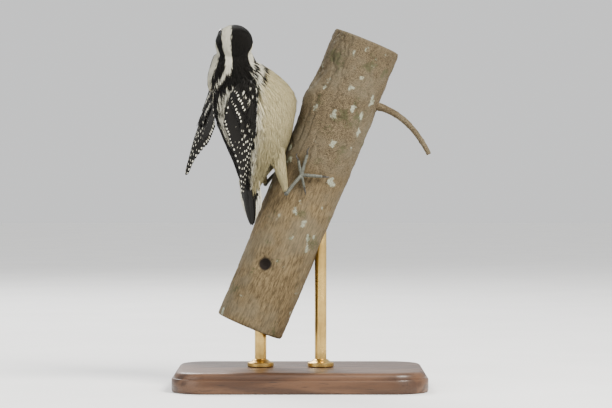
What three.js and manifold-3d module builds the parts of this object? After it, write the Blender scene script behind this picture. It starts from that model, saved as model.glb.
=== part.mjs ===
// A downy woodpecker clinging to a cut length of branch, on a plain display stand.
//
// Millimetres, +Z up. The origin is the centre of the underside of the stand's base.
// The branch leans towards +X. The bird sits on its -X side, turned a little towards -Y.
// Perch frame: Z runs up the branch, -X faces the bird before the bird is turned round it.
// Bird frame: origin on the bark at the tail's tip, X to the head, Y to its left, Z to its back.

import * as THREE from 'three';
import { mergeVertices } from 'three/addons/utils/BufferGeometryUtils.js';
import Module from 'manifold-3d';

const wasm = await Module();
wasm.setup();

// ---------------------------------------------------------------------------------------------
// Driving dimensions
// ---------------------------------------------------------------------------------------------

// The gap between touching pieces, between the wings or tail and the body, and under the body.
const gap = 0.3;
const wingGap = 0.9;
const barkGap = 0.45;

const base = { length: 172, width: 118, height: 14, corner: 24, bevel: 2 };

const rod = { radius: 4, neckRadius: 5.2, collarRadius: 9, rimHeight: 3, collarHeight: 5, inset: 13 };

const perch = { radius: 24, below: 64, above: 146, lean: 22.5 };
const barkWaves = [
  { height: 0.35, turns: 2, length: 31 },
  { height: 0.3, turns: 3, length: -17 },
];
const perchFoot = new THREE.Vector3(-10, 0, 101);
const rodPlaces = [-27, 14];

// The bird sits round the branch towards -Y, and turns further about its own length.
const birdRound = 14;
const birdYaw = 23;

const burr = { along: 96, angle: -150, reach: 13, spread: 32, height: 4.5 };
const knot = { along: -20, angle: -107, reach: 5.5, spread: 13, height: -4 };

const twig = {
  along: 108, angle: -8, radius: 2.6, tipRadius: 1.7,
  length: 44, back: 4, rise: 5, droop: 22, sunk: 2,
};

const trunk = [
  { at: 20, low: -1, high: 5, half: 4.5 },
  { at: 34, low: -6.5, high: 10.5, half: 10.5 },
  { at: 46, low: -19, high: 15, half: 17 },
  { at: 60, low: -25.5, high: 22, half: 21.5 },
  { at: 74, low: -28.5, high: 28, half: 24 },
  { at: 87, low: -30, high: 30.5, half: 24.5 },
  { at: 98, low: -22, high: 29.5, half: 22 },
  { at: 107, low: -10, high: 25, half: 15.5 },
  { at: 115, low: 2, high: 18, half: 8 },
];

const neck = [
  { at: -16, low: -18, high: 18, half: 17 },
  { at: -6, low: -18, high: 18.5, half: 18 },
  { at: 3, low: -16, high: 16, half: 15.8 },
  { at: 13, low: -12, high: 12, half: 11.5 },
];
const neckBase = new THREE.Vector3(96, 4, 14);
const neckTop = new THREE.Vector3(119, 5, 15);

const head = [
  { at: -16.5, low: -4, high: 5, half: 4.5 },
  { at: -12, low: -10, high: 11.5, half: 10 },
  { at: -5, low: -12.5, high: 13.6, half: 12.2 },
  { at: 2.5, low: -12, high: 13.4, half: 12.4 },
  { at: 8, low: -9.8, high: 10.6, half: 10.6 },
  { at: 12.5, low: -6.8, high: 6.6, half: 7.4 },
  { at: 16, low: -4, high: 3.6, half: 4 },
];
const headCentre = new THREE.Vector3(124, 4.6, 15);
const headForward = new THREE.Vector3(0.033, 0.918, -0.402);
const headUp = new THREE.Vector3(0.846, -0.244, -0.485);

const eye = { radius: 3.1, forward: 6.3, out: 8.9, up: 2.6 };

const bill = { start: 14.6, gape: -0.2, halfWidth: 2.9, tipHalfWidth: 0.55, tipHeight: 0.3 };
const billHalves = {
  upper: { rise: 1, length: 17, height: 2.7 },
  lower: { rise: -1, length: 16.3, height: 2.3 },
};
const billRoot = { length: 8, width: 7, height: 7 };

const foldedWing = {
  shoulder: [103, -15, 19],
  middle: [69, -19.5, 22.5],
  tip: [24, -6, 14],
  faceRoot: [0.25, -0.7, 0.66],
  faceTip: [0.1, -0.45, 0.88],
};
const liftedWing = {
  shoulder: [103, 14.5, 19],
  middle: [71, 29, 21],
  tip: [33, 43.5, 27],
  faceRoot: [0.25, 0.45, 0.85],
  faceTip: [0.1, -0.45, 0.88],
};
const wing = {
  lead: 8.5, secondary: 15, primary: 8.2, scallop: 0.7,
  thick: 3.6, tipThick: 0.55, edgeThick: 0.25, camber: 3,
};
const wingSteps = 22;
const featherTips = 11;

const tail = {
  root: 56, tip: 1.2, rootUp: 9.5, tipUp: 1.4, bow: 0.6, roof: 3.2,
  half: 10, tipHalf: 2.8, thick: 1.9, tipThick: 0.55, notch: 1.6, twist: 18,
};

const foot = { along: 45, angle: 56, height: 2.2 };
const heel = { along: 29.5, angle: 50, height: 8 };
const knee = { at: 53, out: 12.5, up: -9 };
const thigh = { radius: 6.4, endRadius: 2.5, share: 0.86 };
const feetRound = 5;
const tarsus = { radius: 1.25, heelRadius: 1.56, palmRadius: 1.69, bow: 0.8 };
const toeLift = { sole: 0.45, root: 0.7, arch: 0.5 };
const toes = [
  { name: 'inner', along: 52.5, angle: 43, radius: 1.05 },
  { name: 'middle', along: 58, angle: 52, radius: 1.15 },
  { name: 'outer', along: 49, angle: 84, radius: 1.15 },
  { name: 'hind', along: 38.5, angle: 66, radius: 0.95 },
];
const claw = { length: 4.6, radius: 0.75, tipRadius: 0.16, rise: 2.1, drop: 0.2, tipHeight: 0.5 };

// The two thin cuts that part the head from the neck, and the neck from the trunk.
const headCut = { point: new THREE.Vector3(113, 3, 12), normal: new THREE.Vector3(0.93, 0.3, 0.1) };
const trunkCut = { point: new THREE.Vector3(104.5, 0, 8), normal: new THREE.Vector3(0.99, 0.08, 0.08) };

// ---------------------------------------------------------------------------------------------
// Materials
// ---------------------------------------------------------------------------------------------

const finish = (color, roughness, metalness = 0) => ({ color, roughness, metalness });
const finishes = {
  black: finish(0x17150f, 0.75),
  buff: finish(0xcbbf9c, 0.85),
  grey: finish(0x8d8673, 0.85),
  horn: finish(0x3a3732, 0.4),
  toe: finish(0x5d5f55, 0.6),
  eye: finish(0x150d08, 0.08),
  bark: finish(0x7c6549, 0.9),
  walnut: finish(0x4a3221, 0.4),
  brass: finish(0xa8873f, 0.3, 1),
};

// ---------------------------------------------------------------------------------------------
// Frames: the stand holds the perch, the perch carries the bird
// ---------------------------------------------------------------------------------------------

const radians = THREE.MathUtils.degToRad;

const specimen = new THREE.Group();
const perchGroup = new THREE.Group();
perchGroup.position.copy(perchFoot);
perchGroup.rotation.y = radians(perch.lean);
const roundGroup = new THREE.Group();
roundGroup.rotation.z = radians(birdRound);
const uprightGroup = new THREE.Group();
uprightGroup.position.x = -perch.radius;
uprightGroup.rotation.y = -radians(perch.lean);
const yawGroup = new THREE.Group();
yawGroup.rotation.z = radians(birdYaw);
const birdGroup = new THREE.Group();
birdGroup.rotation.y = -radians(90);
const headGroup = new THREE.Group();
specimen.add(perchGroup);
perchGroup.add(roundGroup);
roundGroup.add(uprightGroup);
uprightGroup.add(yawGroup);
yawGroup.add(birdGroup);
birdGroup.add(headGroup);

function headBasis() {
  const forward = headForward.clone().normalize();
  const left = new THREE.Vector3().crossVectors(headUp, forward).normalize();
  const up = new THREE.Vector3().crossVectors(forward, left);
  return new THREE.Matrix4().makeBasis(forward, left, up);
}
headGroup.position.copy(headCentre);
headGroup.quaternion.setFromRotationMatrix(headBasis());
specimen.updateMatrixWorld(true);

// The change of coordinates from one group's frame to another's.
function between(from, to) {
  return to.matrixWorld.clone().invert().multiply(from.matrixWorld);
}

// ---------------------------------------------------------------------------------------------
// Solids
// ---------------------------------------------------------------------------------------------

function signedVolume(geometry) {
  const place = geometry.getAttribute('position');
  const index = geometry.getIndex();
  const corner = [new THREE.Vector3(), new THREE.Vector3(), new THREE.Vector3()];
  let volume = 0;
  for (let i = 0; i < index.count; i += 3) {
    corner.forEach((point, k) => point.fromBufferAttribute(place, index.getX(i + k)));
    volume += corner[0].dot(corner[1].clone().cross(corner[2])) / 6;
  }
  return volume;
}

// A manifold solid of a closed geometry, with its faces turned outwards.
function solid(geometry) {
  const bare = geometry.clone();
  bare.deleteAttribute('normal');
  bare.deleteAttribute('uv');
  const merged = mergeVertices(bare, 1e-4);
  const triangles = Array.from(merged.getIndex().array);
  if (signedVolume(merged) < 0) triangles.reverse();
  return new wasm.Manifold(new wasm.Mesh({
    numProp: 3,
    vertProperties: Float32Array.from(merged.getAttribute('position').array),
    triVerts: Uint32Array.from(triangles),
  }));
}

function geometryOf(manifold) {
  const mesh = manifold.getMesh();
  const geometry = new THREE.BufferGeometry();
  geometry.setAttribute('position', new THREE.BufferAttribute(mesh.vertProperties, 3));
  geometry.setIndex(new THREE.BufferAttribute(mesh.triVerts, 1));
  return geometry;
}

// The same solid in the coordinates of another group.
function carried(manifold, from, to) {
  return solid(geometryOf(manifold).applyMatrix4(between(from, to)));
}

// The biggest of the bodies that a cut leaves.
function mainBody(manifold) {
  const bodies = manifold.decompose();
  return bodies.reduce((best, body) => (body.volume() > best.volume() ? body : best));
}

function add(group, name, manifold, look) {
  const mesh = new THREE.Mesh(geometryOf(manifold), new THREE.MeshStandardMaterial(look));
  mesh.name = name;
  group.add(mesh);
}

// Moves every vertex of a geometry by a function of its place.
function bend(geometry, place) {
  const points = geometry.getAttribute('position');
  const point = new THREE.Vector3();
  for (let i = 0; i < points.count; i += 1) {
    place(point.fromBufferAttribute(points, i));
    points.setXYZ(i, point.x, point.y, point.z);
  }
  return geometry;
}

// A smooth run through evenly spaced values.
function through(values, s) {
  const curve = new THREE.SplineCurve(values.map((value, i) => new THREE.Vector2(i, value)));
  return curve.getPoint(s).y;
}

function roundedEnd(s, share) {
  const rest = Math.max(0, 1 - s / share);
  return Math.sqrt(1 - rest * rest);
}

// A round body along X through stations of low, high and half width, with rounded ends.
function body(stations, around, along, swell = 0, endShare = 0.12) {
  const column = (key) => stations.map((station) => station[key]);
  return bend(new THREE.SphereGeometry(1, around, along), (point) => {
    const s = 1 - Math.acos(THREE.MathUtils.clamp(point.y, -1, 1)) / Math.PI;
    const ring = Math.hypot(point.x, point.z) || 1;
    const low = through(column('low'), s);
    const high = through(column('high'), s);
    const end = Math.abs(point.y) > 1 - 1e-6 ? 0 : roundedEnd(Math.min(s, 1 - s), endShare);
    const side = (point.x / ring) * end * (through(column('half'), s) + swell);
    const up = (point.z / ring) * end * ((high - low) / 2 + swell);
    point.set(through(column('at'), s), side, (high + low) / 2 + up);
  });
}

// A round limb along a curve, with a radius that runs from start to end.
function limb(points, startRadius, endRadius, around = 8, along = 8) {
  const curve = new THREE.CatmullRomCurve3(points);
  const frames = curve.computeFrenetFrames(along, false);
  return bend(new THREE.CylinderGeometry(1, 1, 1, around, along), (point) => {
    const s = point.y + 0.5;
    const step = Math.round(s * along);
    const radius = THREE.MathUtils.lerp(startRadius, endRadius, s);
    const place = curve.getPoint(s);
    place.addScaledVector(frames.normals[step], point.x * radius);
    place.addScaledVector(frames.binormals[step], point.z * radius);
    point.copy(place);
  });
}

function ball(radius, place, around = 12, rings = 8) {
  return new THREE.SphereGeometry(radius, around, rings).translate(place.x, place.y, place.z);
}

// Everything on the far side of a plane through a point, as a large block.
function halfSpace(point, normal, shift) {
  const size = 400;
  const block = new THREE.BoxGeometry(size, size, size).translate(0, 0, size / 2 + shift);
  const turn = new THREE.Quaternion().setFromUnitVectors(new THREE.Vector3(0, 0, 1), normal);
  return solid(block.applyQuaternion(turn).translate(point.x, point.y, point.z));
}

// ---------------------------------------------------------------------------------------------
// Perch
// ---------------------------------------------------------------------------------------------

function bump(feature, along, angle) {
  const turn = THREE.MathUtils.euclideanModulo(angle - feature.angle + 180, 360) - 180;
  const across = turn / feature.spread;
  const up = (along - feature.along) / feature.reach;
  return feature.height * Math.exp(-(across * across + up * up));
}

function barkRadius(along, angle) {
  let radius = perch.radius + bump(burr, along, angle) + bump(knot, along, angle);
  for (const { height, turns, length } of barkWaves) {
    radius += height * Math.sin(radians(turns * angle) + along / length);
  }
  return radius;
}

// A place beside the bark, in the perch frame: up the branch, round it, and out from it.
function onBark(along, angle, height) {
  const reach = barkRadius(along, angle) + height;
  return new THREE.Vector3(reach * Math.cos(radians(angle)), reach * Math.sin(radians(angle)), along);
}

function branch(swell) {
  const length = perch.above + perch.below;
  const cylinder = new THREE.CylinderGeometry(1, 1, length, 24, 12);
  return bend(cylinder.rotateX(Math.PI / 2), (point) => {
    const share = Math.hypot(point.x, point.y);
    const angle = THREE.MathUtils.radToDeg(Math.atan2(point.y, point.x));
    const along = point.z + (perch.above - perch.below) / 2;
    const reach = (barkRadius(along, angle) + swell) * share;
    point.set(reach * Math.cos(radians(angle)), reach * Math.sin(radians(angle)), along);
  });
}

function twigSolid() {
  const start = onBark(twig.along, twig.angle, gap);
  const points = [0, 0.35, 0.7, 1].map((share) => {
    const up = twig.rise * share - twig.droop * share * share;
    return new THREE.Vector3(start.x + twig.length * share, start.y - twig.back * share, start.z + up);
  });
  points[0].x -= twig.sunk;
  return solid(limb(points, twig.radius, twig.tipRadius, 8, 6)).subtract(solid(branch(gap)));
}

function rodSolid(place, top) {
  const bottom = base.height + gap;
  const profile = [
    [0, bottom],
    [rod.collarRadius, bottom],
    [rod.collarRadius, bottom + rod.rimHeight],
    [rod.neckRadius, bottom + rod.collarHeight],
    [rod.radius, bottom + rod.collarHeight],
    [rod.radius, top],
    [0, top],
  ];
  const lathe = new THREE.LatheGeometry(profile.map(([r, z]) => new THREE.Vector2(r, z)), 20);
  return solid(lathe.rotateX(Math.PI / 2).translate(place, 0, 0));
}

// The height at which the branch's underside stands over a place on the base.
function underside(place) {
  const lean = radians(perch.lean);
  const across = (place - perchFoot.x) / Math.sin(lean);
  const low = perchFoot.z + across * Math.cos(lean) - perch.radius / Math.sin(lean);
  const cutEnd = perchFoot.z - perch.below * Math.cos(lean) - (place - perchEnd().x) * Math.tan(lean);
  return Math.max(low, cutEnd);
}

function perchEnd() {
  return new THREE.Vector3(0, 0, -perch.below).applyMatrix4(perchGroup.matrixWorld);
}

function standSolids() {
  const rods = rodPlaces.map((place) => rodSolid(place, underside(place) + rod.inset));
  const holes = rodPlaces.map((place) => {
    const top = underside(place) + rod.inset + gap;
    const hole = new THREE.CylinderGeometry(rod.radius + gap, rod.radius + gap, top, 20);
    return solid(hole.rotateX(Math.PI / 2).translate(place, 0, top / 2));
  });
  return { rods, holes };
}

function baseSolid() {
  const { length, width, corner, height, bevel } = base;
  const outline = new THREE.Shape();
  const x = length / 2 - bevel;
  const y = width / 2 - bevel;
  const r = corner - bevel;
  outline.moveTo(-x + r, -y);
  outline.lineTo(x - r, -y);
  outline.absarc(x - r, -y + r, r, -Math.PI / 2, 0);
  outline.lineTo(x, y - r);
  outline.absarc(x - r, y - r, r, 0, Math.PI / 2);
  outline.lineTo(-x + r, y);
  outline.absarc(-x + r, y - r, r, Math.PI / 2, Math.PI);
  outline.lineTo(-x, -y + r);
  outline.absarc(-x + r, -y + r, r, Math.PI, Math.PI * 1.5);
  const slab = new THREE.ExtrudeGeometry(outline, {
    depth: height - 2 * bevel,
    bevelSize: bevel,
    bevelThickness: bevel,
    bevelSegments: 1,
    curveSegments: 6,
  });
  return solid(slab.translate(0, 0, bevel));
}

// ---------------------------------------------------------------------------------------------
// Wings and tail
// ---------------------------------------------------------------------------------------------

// The wing's trailing edge: secondaries to about 60 percent of its length, then the primaries.
function trailingEdge(s) {
  const secondaries = wing.secondary * Math.sin(Math.min(1, s / 0.42) * Math.PI / 2) ** 0.8;
  const primaries = wing.primary * (1 - THREE.MathUtils.smoothstep(s, 0.72, 1.02));
  const edge = THREE.MathUtils.lerp(secondaries, primaries, THREE.MathUtils.smoothstep(s, 0.5, 0.69));
  const scallops = wing.scallop * Math.abs(Math.sin(s * featherTips * Math.PI));
  return edge - scallops * THREE.MathUtils.smoothstep(s, 0.3, 0.5);
}

function leadingEdge(s) {
  const shoulder = Math.sin(Math.min(1, (s + 0.02) / 0.16) * Math.PI / 2) ** 0.7;
  return wing.lead * shoulder * (1 - 0.99 * THREE.MathUtils.smoothstep(s, 0.55, 1.02));
}

function wingSolid(pose, side, swell) {
  const [shoulder, middle, tip] = ['shoulder', 'middle', 'tip'].map((key) => new THREE.Vector3(...pose[key]));
  const control = middle.clone().multiplyScalar(2).addScaledVector(shoulder, -0.5).addScaledVector(tip, -0.5);
  const line = new THREE.QuadraticBezierCurve3(shoulder, control, tip);
  const faceRoot = new THREE.Vector3(...pose.faceRoot);
  const faceTip = new THREE.Vector3(...pose.faceTip);
  const plate = new THREE.BoxGeometry(1, 1, 1, wingSteps, 4, 1);
  return solid(bend(plate, (point) => {
    const s = point.x + 0.5;
    const across = point.y * 2;
    const along = line.getTangent(s);
    const face = faceRoot.clone().lerp(faceTip, s);
    face.addScaledVector(along, -face.dot(along)).normalize();
    const trail = new THREE.Vector3().crossVectors(along, face).multiplyScalar(side);
    const reach = across > 0 ? trailingEdge(s) + swell : leadingEdge(s) + swell;
    const fullness = Math.sqrt(1 - 0.9 * across * across);
    const flesh = wing.thick * (1 - THREE.MathUtils.smoothstep(s, 0.1, 0.72)) * roundedEnd(s + 0.04, 0.2);
    const thick = (flesh + wing.tipThick) * fullness + wing.edgeThick + swell;
    const place = line.getPoint(s);
    place.addScaledVector(along, swell * point.x * 2);
    place.addScaledVector(trail, across * reach);
    place.addScaledVector(face, point.z * 2 * thick - wing.camber * across * across * (1 - s));
    point.copy(place);
  }));
}

function tailSolid(swell) {
  const plate = new THREE.BoxGeometry(1, 1, 1, 14, 6, 1);
  return solid(bend(plate, (point) => {
    const s = 0.5 - point.x;
    const across = point.y * 2;
    const spread = Math.sin(Math.min(1, (s + 0.25) / 0.85) * Math.PI / 2);
    const taper = 1 - THREE.MathUtils.smoothstep(s, 0.62, 1.04);
    const half = tail.tipHalf + (tail.half - tail.tipHalf) * spread * taper;
    const notch = s > 0.97 ? tail.notch * (1 - Math.abs(across)) : 0;
    const bow = tail.bow * Math.sin(Math.PI * s);
    const roof = tail.roof * across * across * spread * (1 - 0.6 * s);
    const taperedThick = THREE.MathUtils.lerp(tail.thick, tail.tipThick, s);
    const thick = taperedThick * Math.sqrt(1 - 0.6 * across * across) + swell;
    const at = THREE.MathUtils.lerp(tail.root, tail.tip, s) + notch + swell * point.x * 2;
    const middle = THREE.MathUtils.lerp(tail.rootUp, tail.tipUp, s ** 0.75) + bow;
    const turn = radians(tail.twist * s);
    const side = across * (half + swell);
    const level = point.z * 2 * thick - roof;
    const up = middle + side * Math.sin(turn) + level * Math.cos(turn);
    point.set(at, side * Math.cos(turn) - level * Math.sin(turn), up);
  }));
}

// ---------------------------------------------------------------------------------------------
// Bill, eyes, legs and feet
// ---------------------------------------------------------------------------------------------

// One half of the bill, in the head frame: a four-sided taper to a chisel tip.
function mandible({ rise, length, height }) {
  const cone = new THREE.CylinderGeometry(1, 1, 1, 10, 5);
  const whole = solid(bend(cone.rotateZ(-Math.PI / 2), (point) => {
    const s = point.x + 0.5;
    const taper = 1 - s ** 1.25;
    const wide = THREE.MathUtils.lerp(bill.tipHalfWidth, bill.halfWidth, taper);
    const tall = THREE.MathUtils.lerp(bill.tipHeight, height, taper);
    point.set(bill.start + s * length, point.y * wide, bill.gape + point.z * tall);
  }));
  const middle = new THREE.Vector3(bill.start, 0, bill.gape);
  return whole.intersect(halfSpace(middle, new THREE.Vector3(0, 0, rise), gap / 2));
}

function eyeBall(side, swell) {
  return solid(ball(eye.radius + swell, new THREE.Vector3(eye.forward, side * eye.out, eye.up), 14, 10));
}

// Angles are measured from the middle of the two feet on the bark, to the bird's left.
function underBird(place, side, height = place.height) {
  return onBark(place.along, 180 + birdRound + feetRound - side * place.angle, height);
}

function legPoints(side) {
  const top = new THREE.Vector3(knee.at, side * knee.out, knee.up);
  top.applyMatrix4(between(birdGroup, perchGroup));
  return { knee: top, heel: underBird(heel, side), foot: underBird(foot, side) };
}

function footSolid(side) {
  const { heel: ankle, foot: palm } = legPoints(side);
  const middle = ankle.clone().lerp(palm, 0.5);
  middle.addScaledVector(underBird(foot, side, 1).sub(underBird(foot, side, 0)), tarsus.bow);
  let whole = solid(limb([ankle, middle, palm], tarsus.radius * 1.15, tarsus.radius, 6, 4));
  whole = whole.add(solid(ball(tarsus.palmRadius, palm, 8, 5)));
  whole = whole.add(solid(ball(tarsus.heelRadius, ankle, 8, 5)));
  for (const toe of toes) {
    const points = [0, 0.33, 0.66, 1].map((share) => {
      const along = THREE.MathUtils.lerp(foot.along, toe.along, share);
      const angle = THREE.MathUtils.lerp(foot.angle, toe.angle, share);
      const lift = toeLift.sole + toeLift.root * (1 - share) + toeLift.arch * Math.sin(Math.PI * share);
      return underBird({ along, angle }, side, toe.radius + lift);
    });
    whole = whole.add(solid(limb(points, toe.radius * 1.1, toe.radius * 0.85, 6, 4)));
    whole = whole.add(solid(ball(toe.radius * 1.05, points[3], 6, 3)));
  }
  return whole;
}

// A claw rises from the toe's end and curves down onto the bark.
function clawSolid(toe, side) {
  const reach = Math.hypot(toe.along - foot.along, radians(toe.angle - foot.angle) * perch.radius);
  const start = 1 + (toe.radius * 1.1 + gap) / reach;
  const points = [0, 0.3, 0.65, 1].map((share) => {
    const beyond = start + (share * claw.length) / reach;
    const along = THREE.MathUtils.lerp(foot.along, toe.along, beyond);
    const angle = THREE.MathUtils.lerp(foot.angle, toe.angle, beyond);
    const drop = (toe.radius + claw.drop) * (1 - share);
    const height = claw.tipHeight + drop + claw.rise * Math.sin(Math.PI * share * 0.95);
    return underBird({ along, angle }, side, height);
  });
  return solid(limb(points, claw.radius, claw.tipRadius, 6, 6));
}

function thighSolid(side) {
  const { knee: top, heel: bottom } = legPoints(side);
  const end = top.clone().lerp(bottom, thigh.share);
  const muscle = limb([top, top.clone().lerp(end, 0.5), end], thigh.radius, thigh.endRadius, 10, 4);
  return solid(muscle).add(solid(ball(thigh.radius, top, 10, 7)));
}

// ---------------------------------------------------------------------------------------------
// The bird, modelled whole and parted with thin cuts
// ---------------------------------------------------------------------------------------------

function neckSolid() {
  const axis = neckTop.clone().sub(neckBase).normalize();
  const turn = new THREE.Quaternion().setFromUnitVectors(new THREE.Vector3(1, 0, 0), axis);
  const middle = neckBase.clone().lerp(neckTop, 0.5);
  return solid(body(neck, 14, 8).applyQuaternion(turn).translate(middle.x, middle.y, middle.z));
}

const branchSolid = solid(branch(0));
const branchRoom = solid(branch(barkGap));
const wings = { left: wingSolid(liftedWing, -1, 0), right: wingSolid(foldedWing, 1, 0) };
const wingRooms = { left: wingSolid(liftedWing, -1, wingGap), right: wingSolid(foldedWing, 1, wingGap) };
const tailPlate = mainBody(tailSolid(0).subtract(carried(branchRoom, perchGroup, birdGroup)));

const sides = { left: 1, right: -1 };

let torso = solid(body(trunk, 24, 16)).add(neckSolid());
torso = torso.add(carried(solid(body(head, 18, 12)), headGroup, birdGroup));
torso = torso.subtract(carried(branchRoom, perchGroup, birdGroup));
torso = torso.subtract(wingRooms.left).subtract(wingRooms.right).subtract(tailSolid(wingGap));
for (const side of Object.values(sides)) {
  torso = torso.subtract(carried(eyeBall(side, gap), headGroup, birdGroup));
}

// The half of the bird above (1) or below (-1) a cut.
function sideOf(cut, rise) {
  return halfSpace(cut.point, cut.normal.clone().normalize().multiplyScalar(rise), gap / 2);
}

function billRoom() {
  const room = new THREE.BoxGeometry(billRoot.length, billRoot.width, billRoot.height);
  return solid(room.translate(bill.start + billRoot.length / 2 - gap, 0, bill.gape));
}

let headPiece = mainBody(torso.intersect(sideOf(headCut, 1)));
headPiece = mainBody(headPiece.subtract(carried(billRoom(), headGroup, birdGroup)));
const neckPiece = mainBody(torso.intersect(sideOf(headCut, -1)).intersect(sideOf(trunkCut, 1)));
let trunkPiece = mainBody(torso.intersect(sideOf(trunkCut, -1)));

add(birdGroup, 'head', headPiece, finishes.black);
add(birdGroup, 'neck', neckPiece, finishes.grey);
for (const [name, side] of Object.entries(sides)) {
  add(headGroup, `eye_${name}`, eyeBall(side, 0), finishes.eye);
  add(birdGroup, `wing_${name}`, wings[name], finishes.black);
  const footPiece = footSolid(side);
  const leg = thighSolid(side).subtract(branchRoom);
  const legPiece = mainBody(carried(leg, perchGroup, birdGroup).subtract(trunkPiece));
  trunkPiece = mainBody(trunkPiece.subtract(carried(footPiece, perchGroup, birdGroup)));
  add(birdGroup, `leg_${name}`, legPiece, finishes.grey);
  add(perchGroup, `foot_${name}`, footPiece, finishes.toe);
  for (const toe of toes) {
    add(perchGroup, `claw_${name}_${toe.name}`, clawSolid(toe, side), finishes.horn);
  }
}
add(birdGroup, 'trunk', trunkPiece, finishes.buff);
add(birdGroup, 'tail', tailPlate, finishes.black);
for (const [name, half] of Object.entries(billHalves)) {
  add(headGroup, `bill_${name}`, mandible(half), finishes.horn);
}

const stand = standSolids();
let perchPiece = branchSolid;
for (const hole of stand.holes) {
  perchPiece = perchPiece.subtract(carried(hole, specimen, perchGroup));
}
add(perchGroup, 'perch_branch', perchPiece, finishes.bark);
add(perchGroup, 'perch_twig', twigSolid(), finishes.bark);
add(specimen, 'stand_base', baseSolid(), finishes.walnut);
add(specimen, 'stand_rod_low', stand.rods[0], finishes.brass);
add(specimen, 'stand_rod_high', stand.rods[1], finishes.brass);

export default specimen;
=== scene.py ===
"""A downy woodpecker clinging to a leaning cut of branch on a display stand.

Lengths are millimetres until a mesh is made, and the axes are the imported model's. The bird's frame has its
origin on the bark at the tail's tip, X to the head, Y to its left and Z to its back. The head's frame has X
forward, Y left and Z up. The perch's frame has Z up the branch. The wings', tail's, toes' and bark's sizes
repeat those of the solids.
"""

import math

import bmesh
import bpy
import numpy as np
from mathutils import Matrix, Vector
from mathutils.bvhtree import BVHTree
from mathutils.kdtree import KDTree


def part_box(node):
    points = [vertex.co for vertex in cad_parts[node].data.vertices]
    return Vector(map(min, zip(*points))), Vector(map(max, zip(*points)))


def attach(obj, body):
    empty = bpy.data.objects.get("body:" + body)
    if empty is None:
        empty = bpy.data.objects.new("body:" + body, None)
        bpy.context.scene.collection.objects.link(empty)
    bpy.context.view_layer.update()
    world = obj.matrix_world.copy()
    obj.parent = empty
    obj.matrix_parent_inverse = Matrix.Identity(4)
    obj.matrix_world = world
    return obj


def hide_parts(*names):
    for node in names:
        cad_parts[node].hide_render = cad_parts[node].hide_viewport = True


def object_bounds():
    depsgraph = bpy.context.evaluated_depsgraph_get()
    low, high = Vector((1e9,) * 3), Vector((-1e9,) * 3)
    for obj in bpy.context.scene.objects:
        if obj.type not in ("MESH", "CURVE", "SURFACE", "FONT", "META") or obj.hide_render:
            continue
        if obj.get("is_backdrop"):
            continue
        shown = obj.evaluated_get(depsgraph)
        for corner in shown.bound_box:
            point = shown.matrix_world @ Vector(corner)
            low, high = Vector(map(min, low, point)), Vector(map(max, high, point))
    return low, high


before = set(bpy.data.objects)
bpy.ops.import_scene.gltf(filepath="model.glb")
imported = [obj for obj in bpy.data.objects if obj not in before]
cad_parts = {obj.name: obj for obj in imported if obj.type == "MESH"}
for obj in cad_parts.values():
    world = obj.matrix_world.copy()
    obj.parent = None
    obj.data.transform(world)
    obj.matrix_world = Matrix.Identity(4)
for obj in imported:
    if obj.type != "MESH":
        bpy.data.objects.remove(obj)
cad_box = [list(corner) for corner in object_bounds()]
rng = np.random.default_rng(7)

# A millimetre in metres, and the clearance that the solids keep to each other.
MM, GAP = 0.001, 0.3

# ---- Frames, as in the solids ----

PERCH_RADIUS, PERCH_BELOW, PERCH_ABOVE, PERCH_LEAN = 24, 64, 146, 22.5
BIRD_ROUND, BIRD_YAW, FEET_ROUND = 14, 23, 5


def unit(vectors):
    return vectors / np.maximum(np.linalg.norm(vectors, axis=-1, keepdims=True), 1e-12)


def dot(a, b):
    return (a * b).sum(-1)


def square_to(axes, vectors):
    """Vectors turned square to axes."""
    return unit(vectors - axes * (vectors * axes).sum(-1, keepdims=True))


def full_turn(count):
    return np.linspace(0, 2 * np.pi, count, endpoint=False)


def polar(radius, turn, height):
    """Places round the Z axis."""
    return np.stack(np.broadcast_arrays(radius * np.cos(turn), radius * np.sin(turn), height), -1)


def turned(axis, degrees):
    return np.array(Matrix.Rotation(math.radians(degrees), 4, axis))


def moved(x, y, z):
    return np.array(Matrix.Translation((x, y, z)))


def placed(base, points):
    return np.asarray(points, float) @ base[:3, :3].T + base[:3, 3]


def pointed(base, directions):
    return np.asarray(directions, float) @ base[:3, :3].T


def seen_from(base, points):
    return (np.asarray(points, float) - base[:3, 3]) @ base[:3, :3]


def basis(origin, forward, up):
    matrix = np.eye(4)
    x = unit(np.array(forward, float))
    y = unit(np.cross(up, x))
    matrix[:3, 0], matrix[:3, 1], matrix[:3, 2], matrix[:3, 3] = x, y, np.cross(x, y), origin
    return matrix


PERCH = moved(-10, 0, 101) @ turned("Y", PERCH_LEAN)
BIRD = PERCH @ turned("Z", BIRD_ROUND) @ moved(-PERCH_RADIUS, 0, 0) @ turned("Y", -PERCH_LEAN)
BIRD = BIRD @ turned("Z", BIRD_YAW) @ turned("Y", -90)
HEAD = BIRD @ basis((124, 4.6, 15), (0.033, 0.918, -0.402), (0.846, -0.244, -0.485))
# The eyeball's radius, its place in the head's frame, and the lids' opening in degrees from the eye's axis.
EYE = {"radius": 3.1, "forward": 6.3, "out": 8.9, "up": 2.6, "opening": 46}
SIDES = {"left": 1, "right": -1}
EYE_PLACES = {
    name: placed(HEAD, [EYE["forward"], side * EYE["out"], EYE["up"]]) for name, side in SIDES.items()
}
EYE_AXES = {name: unit(pointed(HEAD, [0.42, side, 0.215])) for name, side in SIDES.items()}


def ramp(x, low, high):
    t = np.clip((np.asarray(x, float) - low) / (high - low), 0, 1)
    return t * t * (3 - 2 * t)


def mix(a, b, share):
    return a + (b - a) * share


# ---- Meshes ----


def signed_volume(points, groups):
    volume = 0
    for group in groups:
        for k in range(1, group.shape[1] - 1):
            a, b, c = points[group[:, 0]], points[group[:, k]], points[group[:, k + 1]]
            volume += (a * np.cross(b, c)).sum()
    return volume


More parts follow.
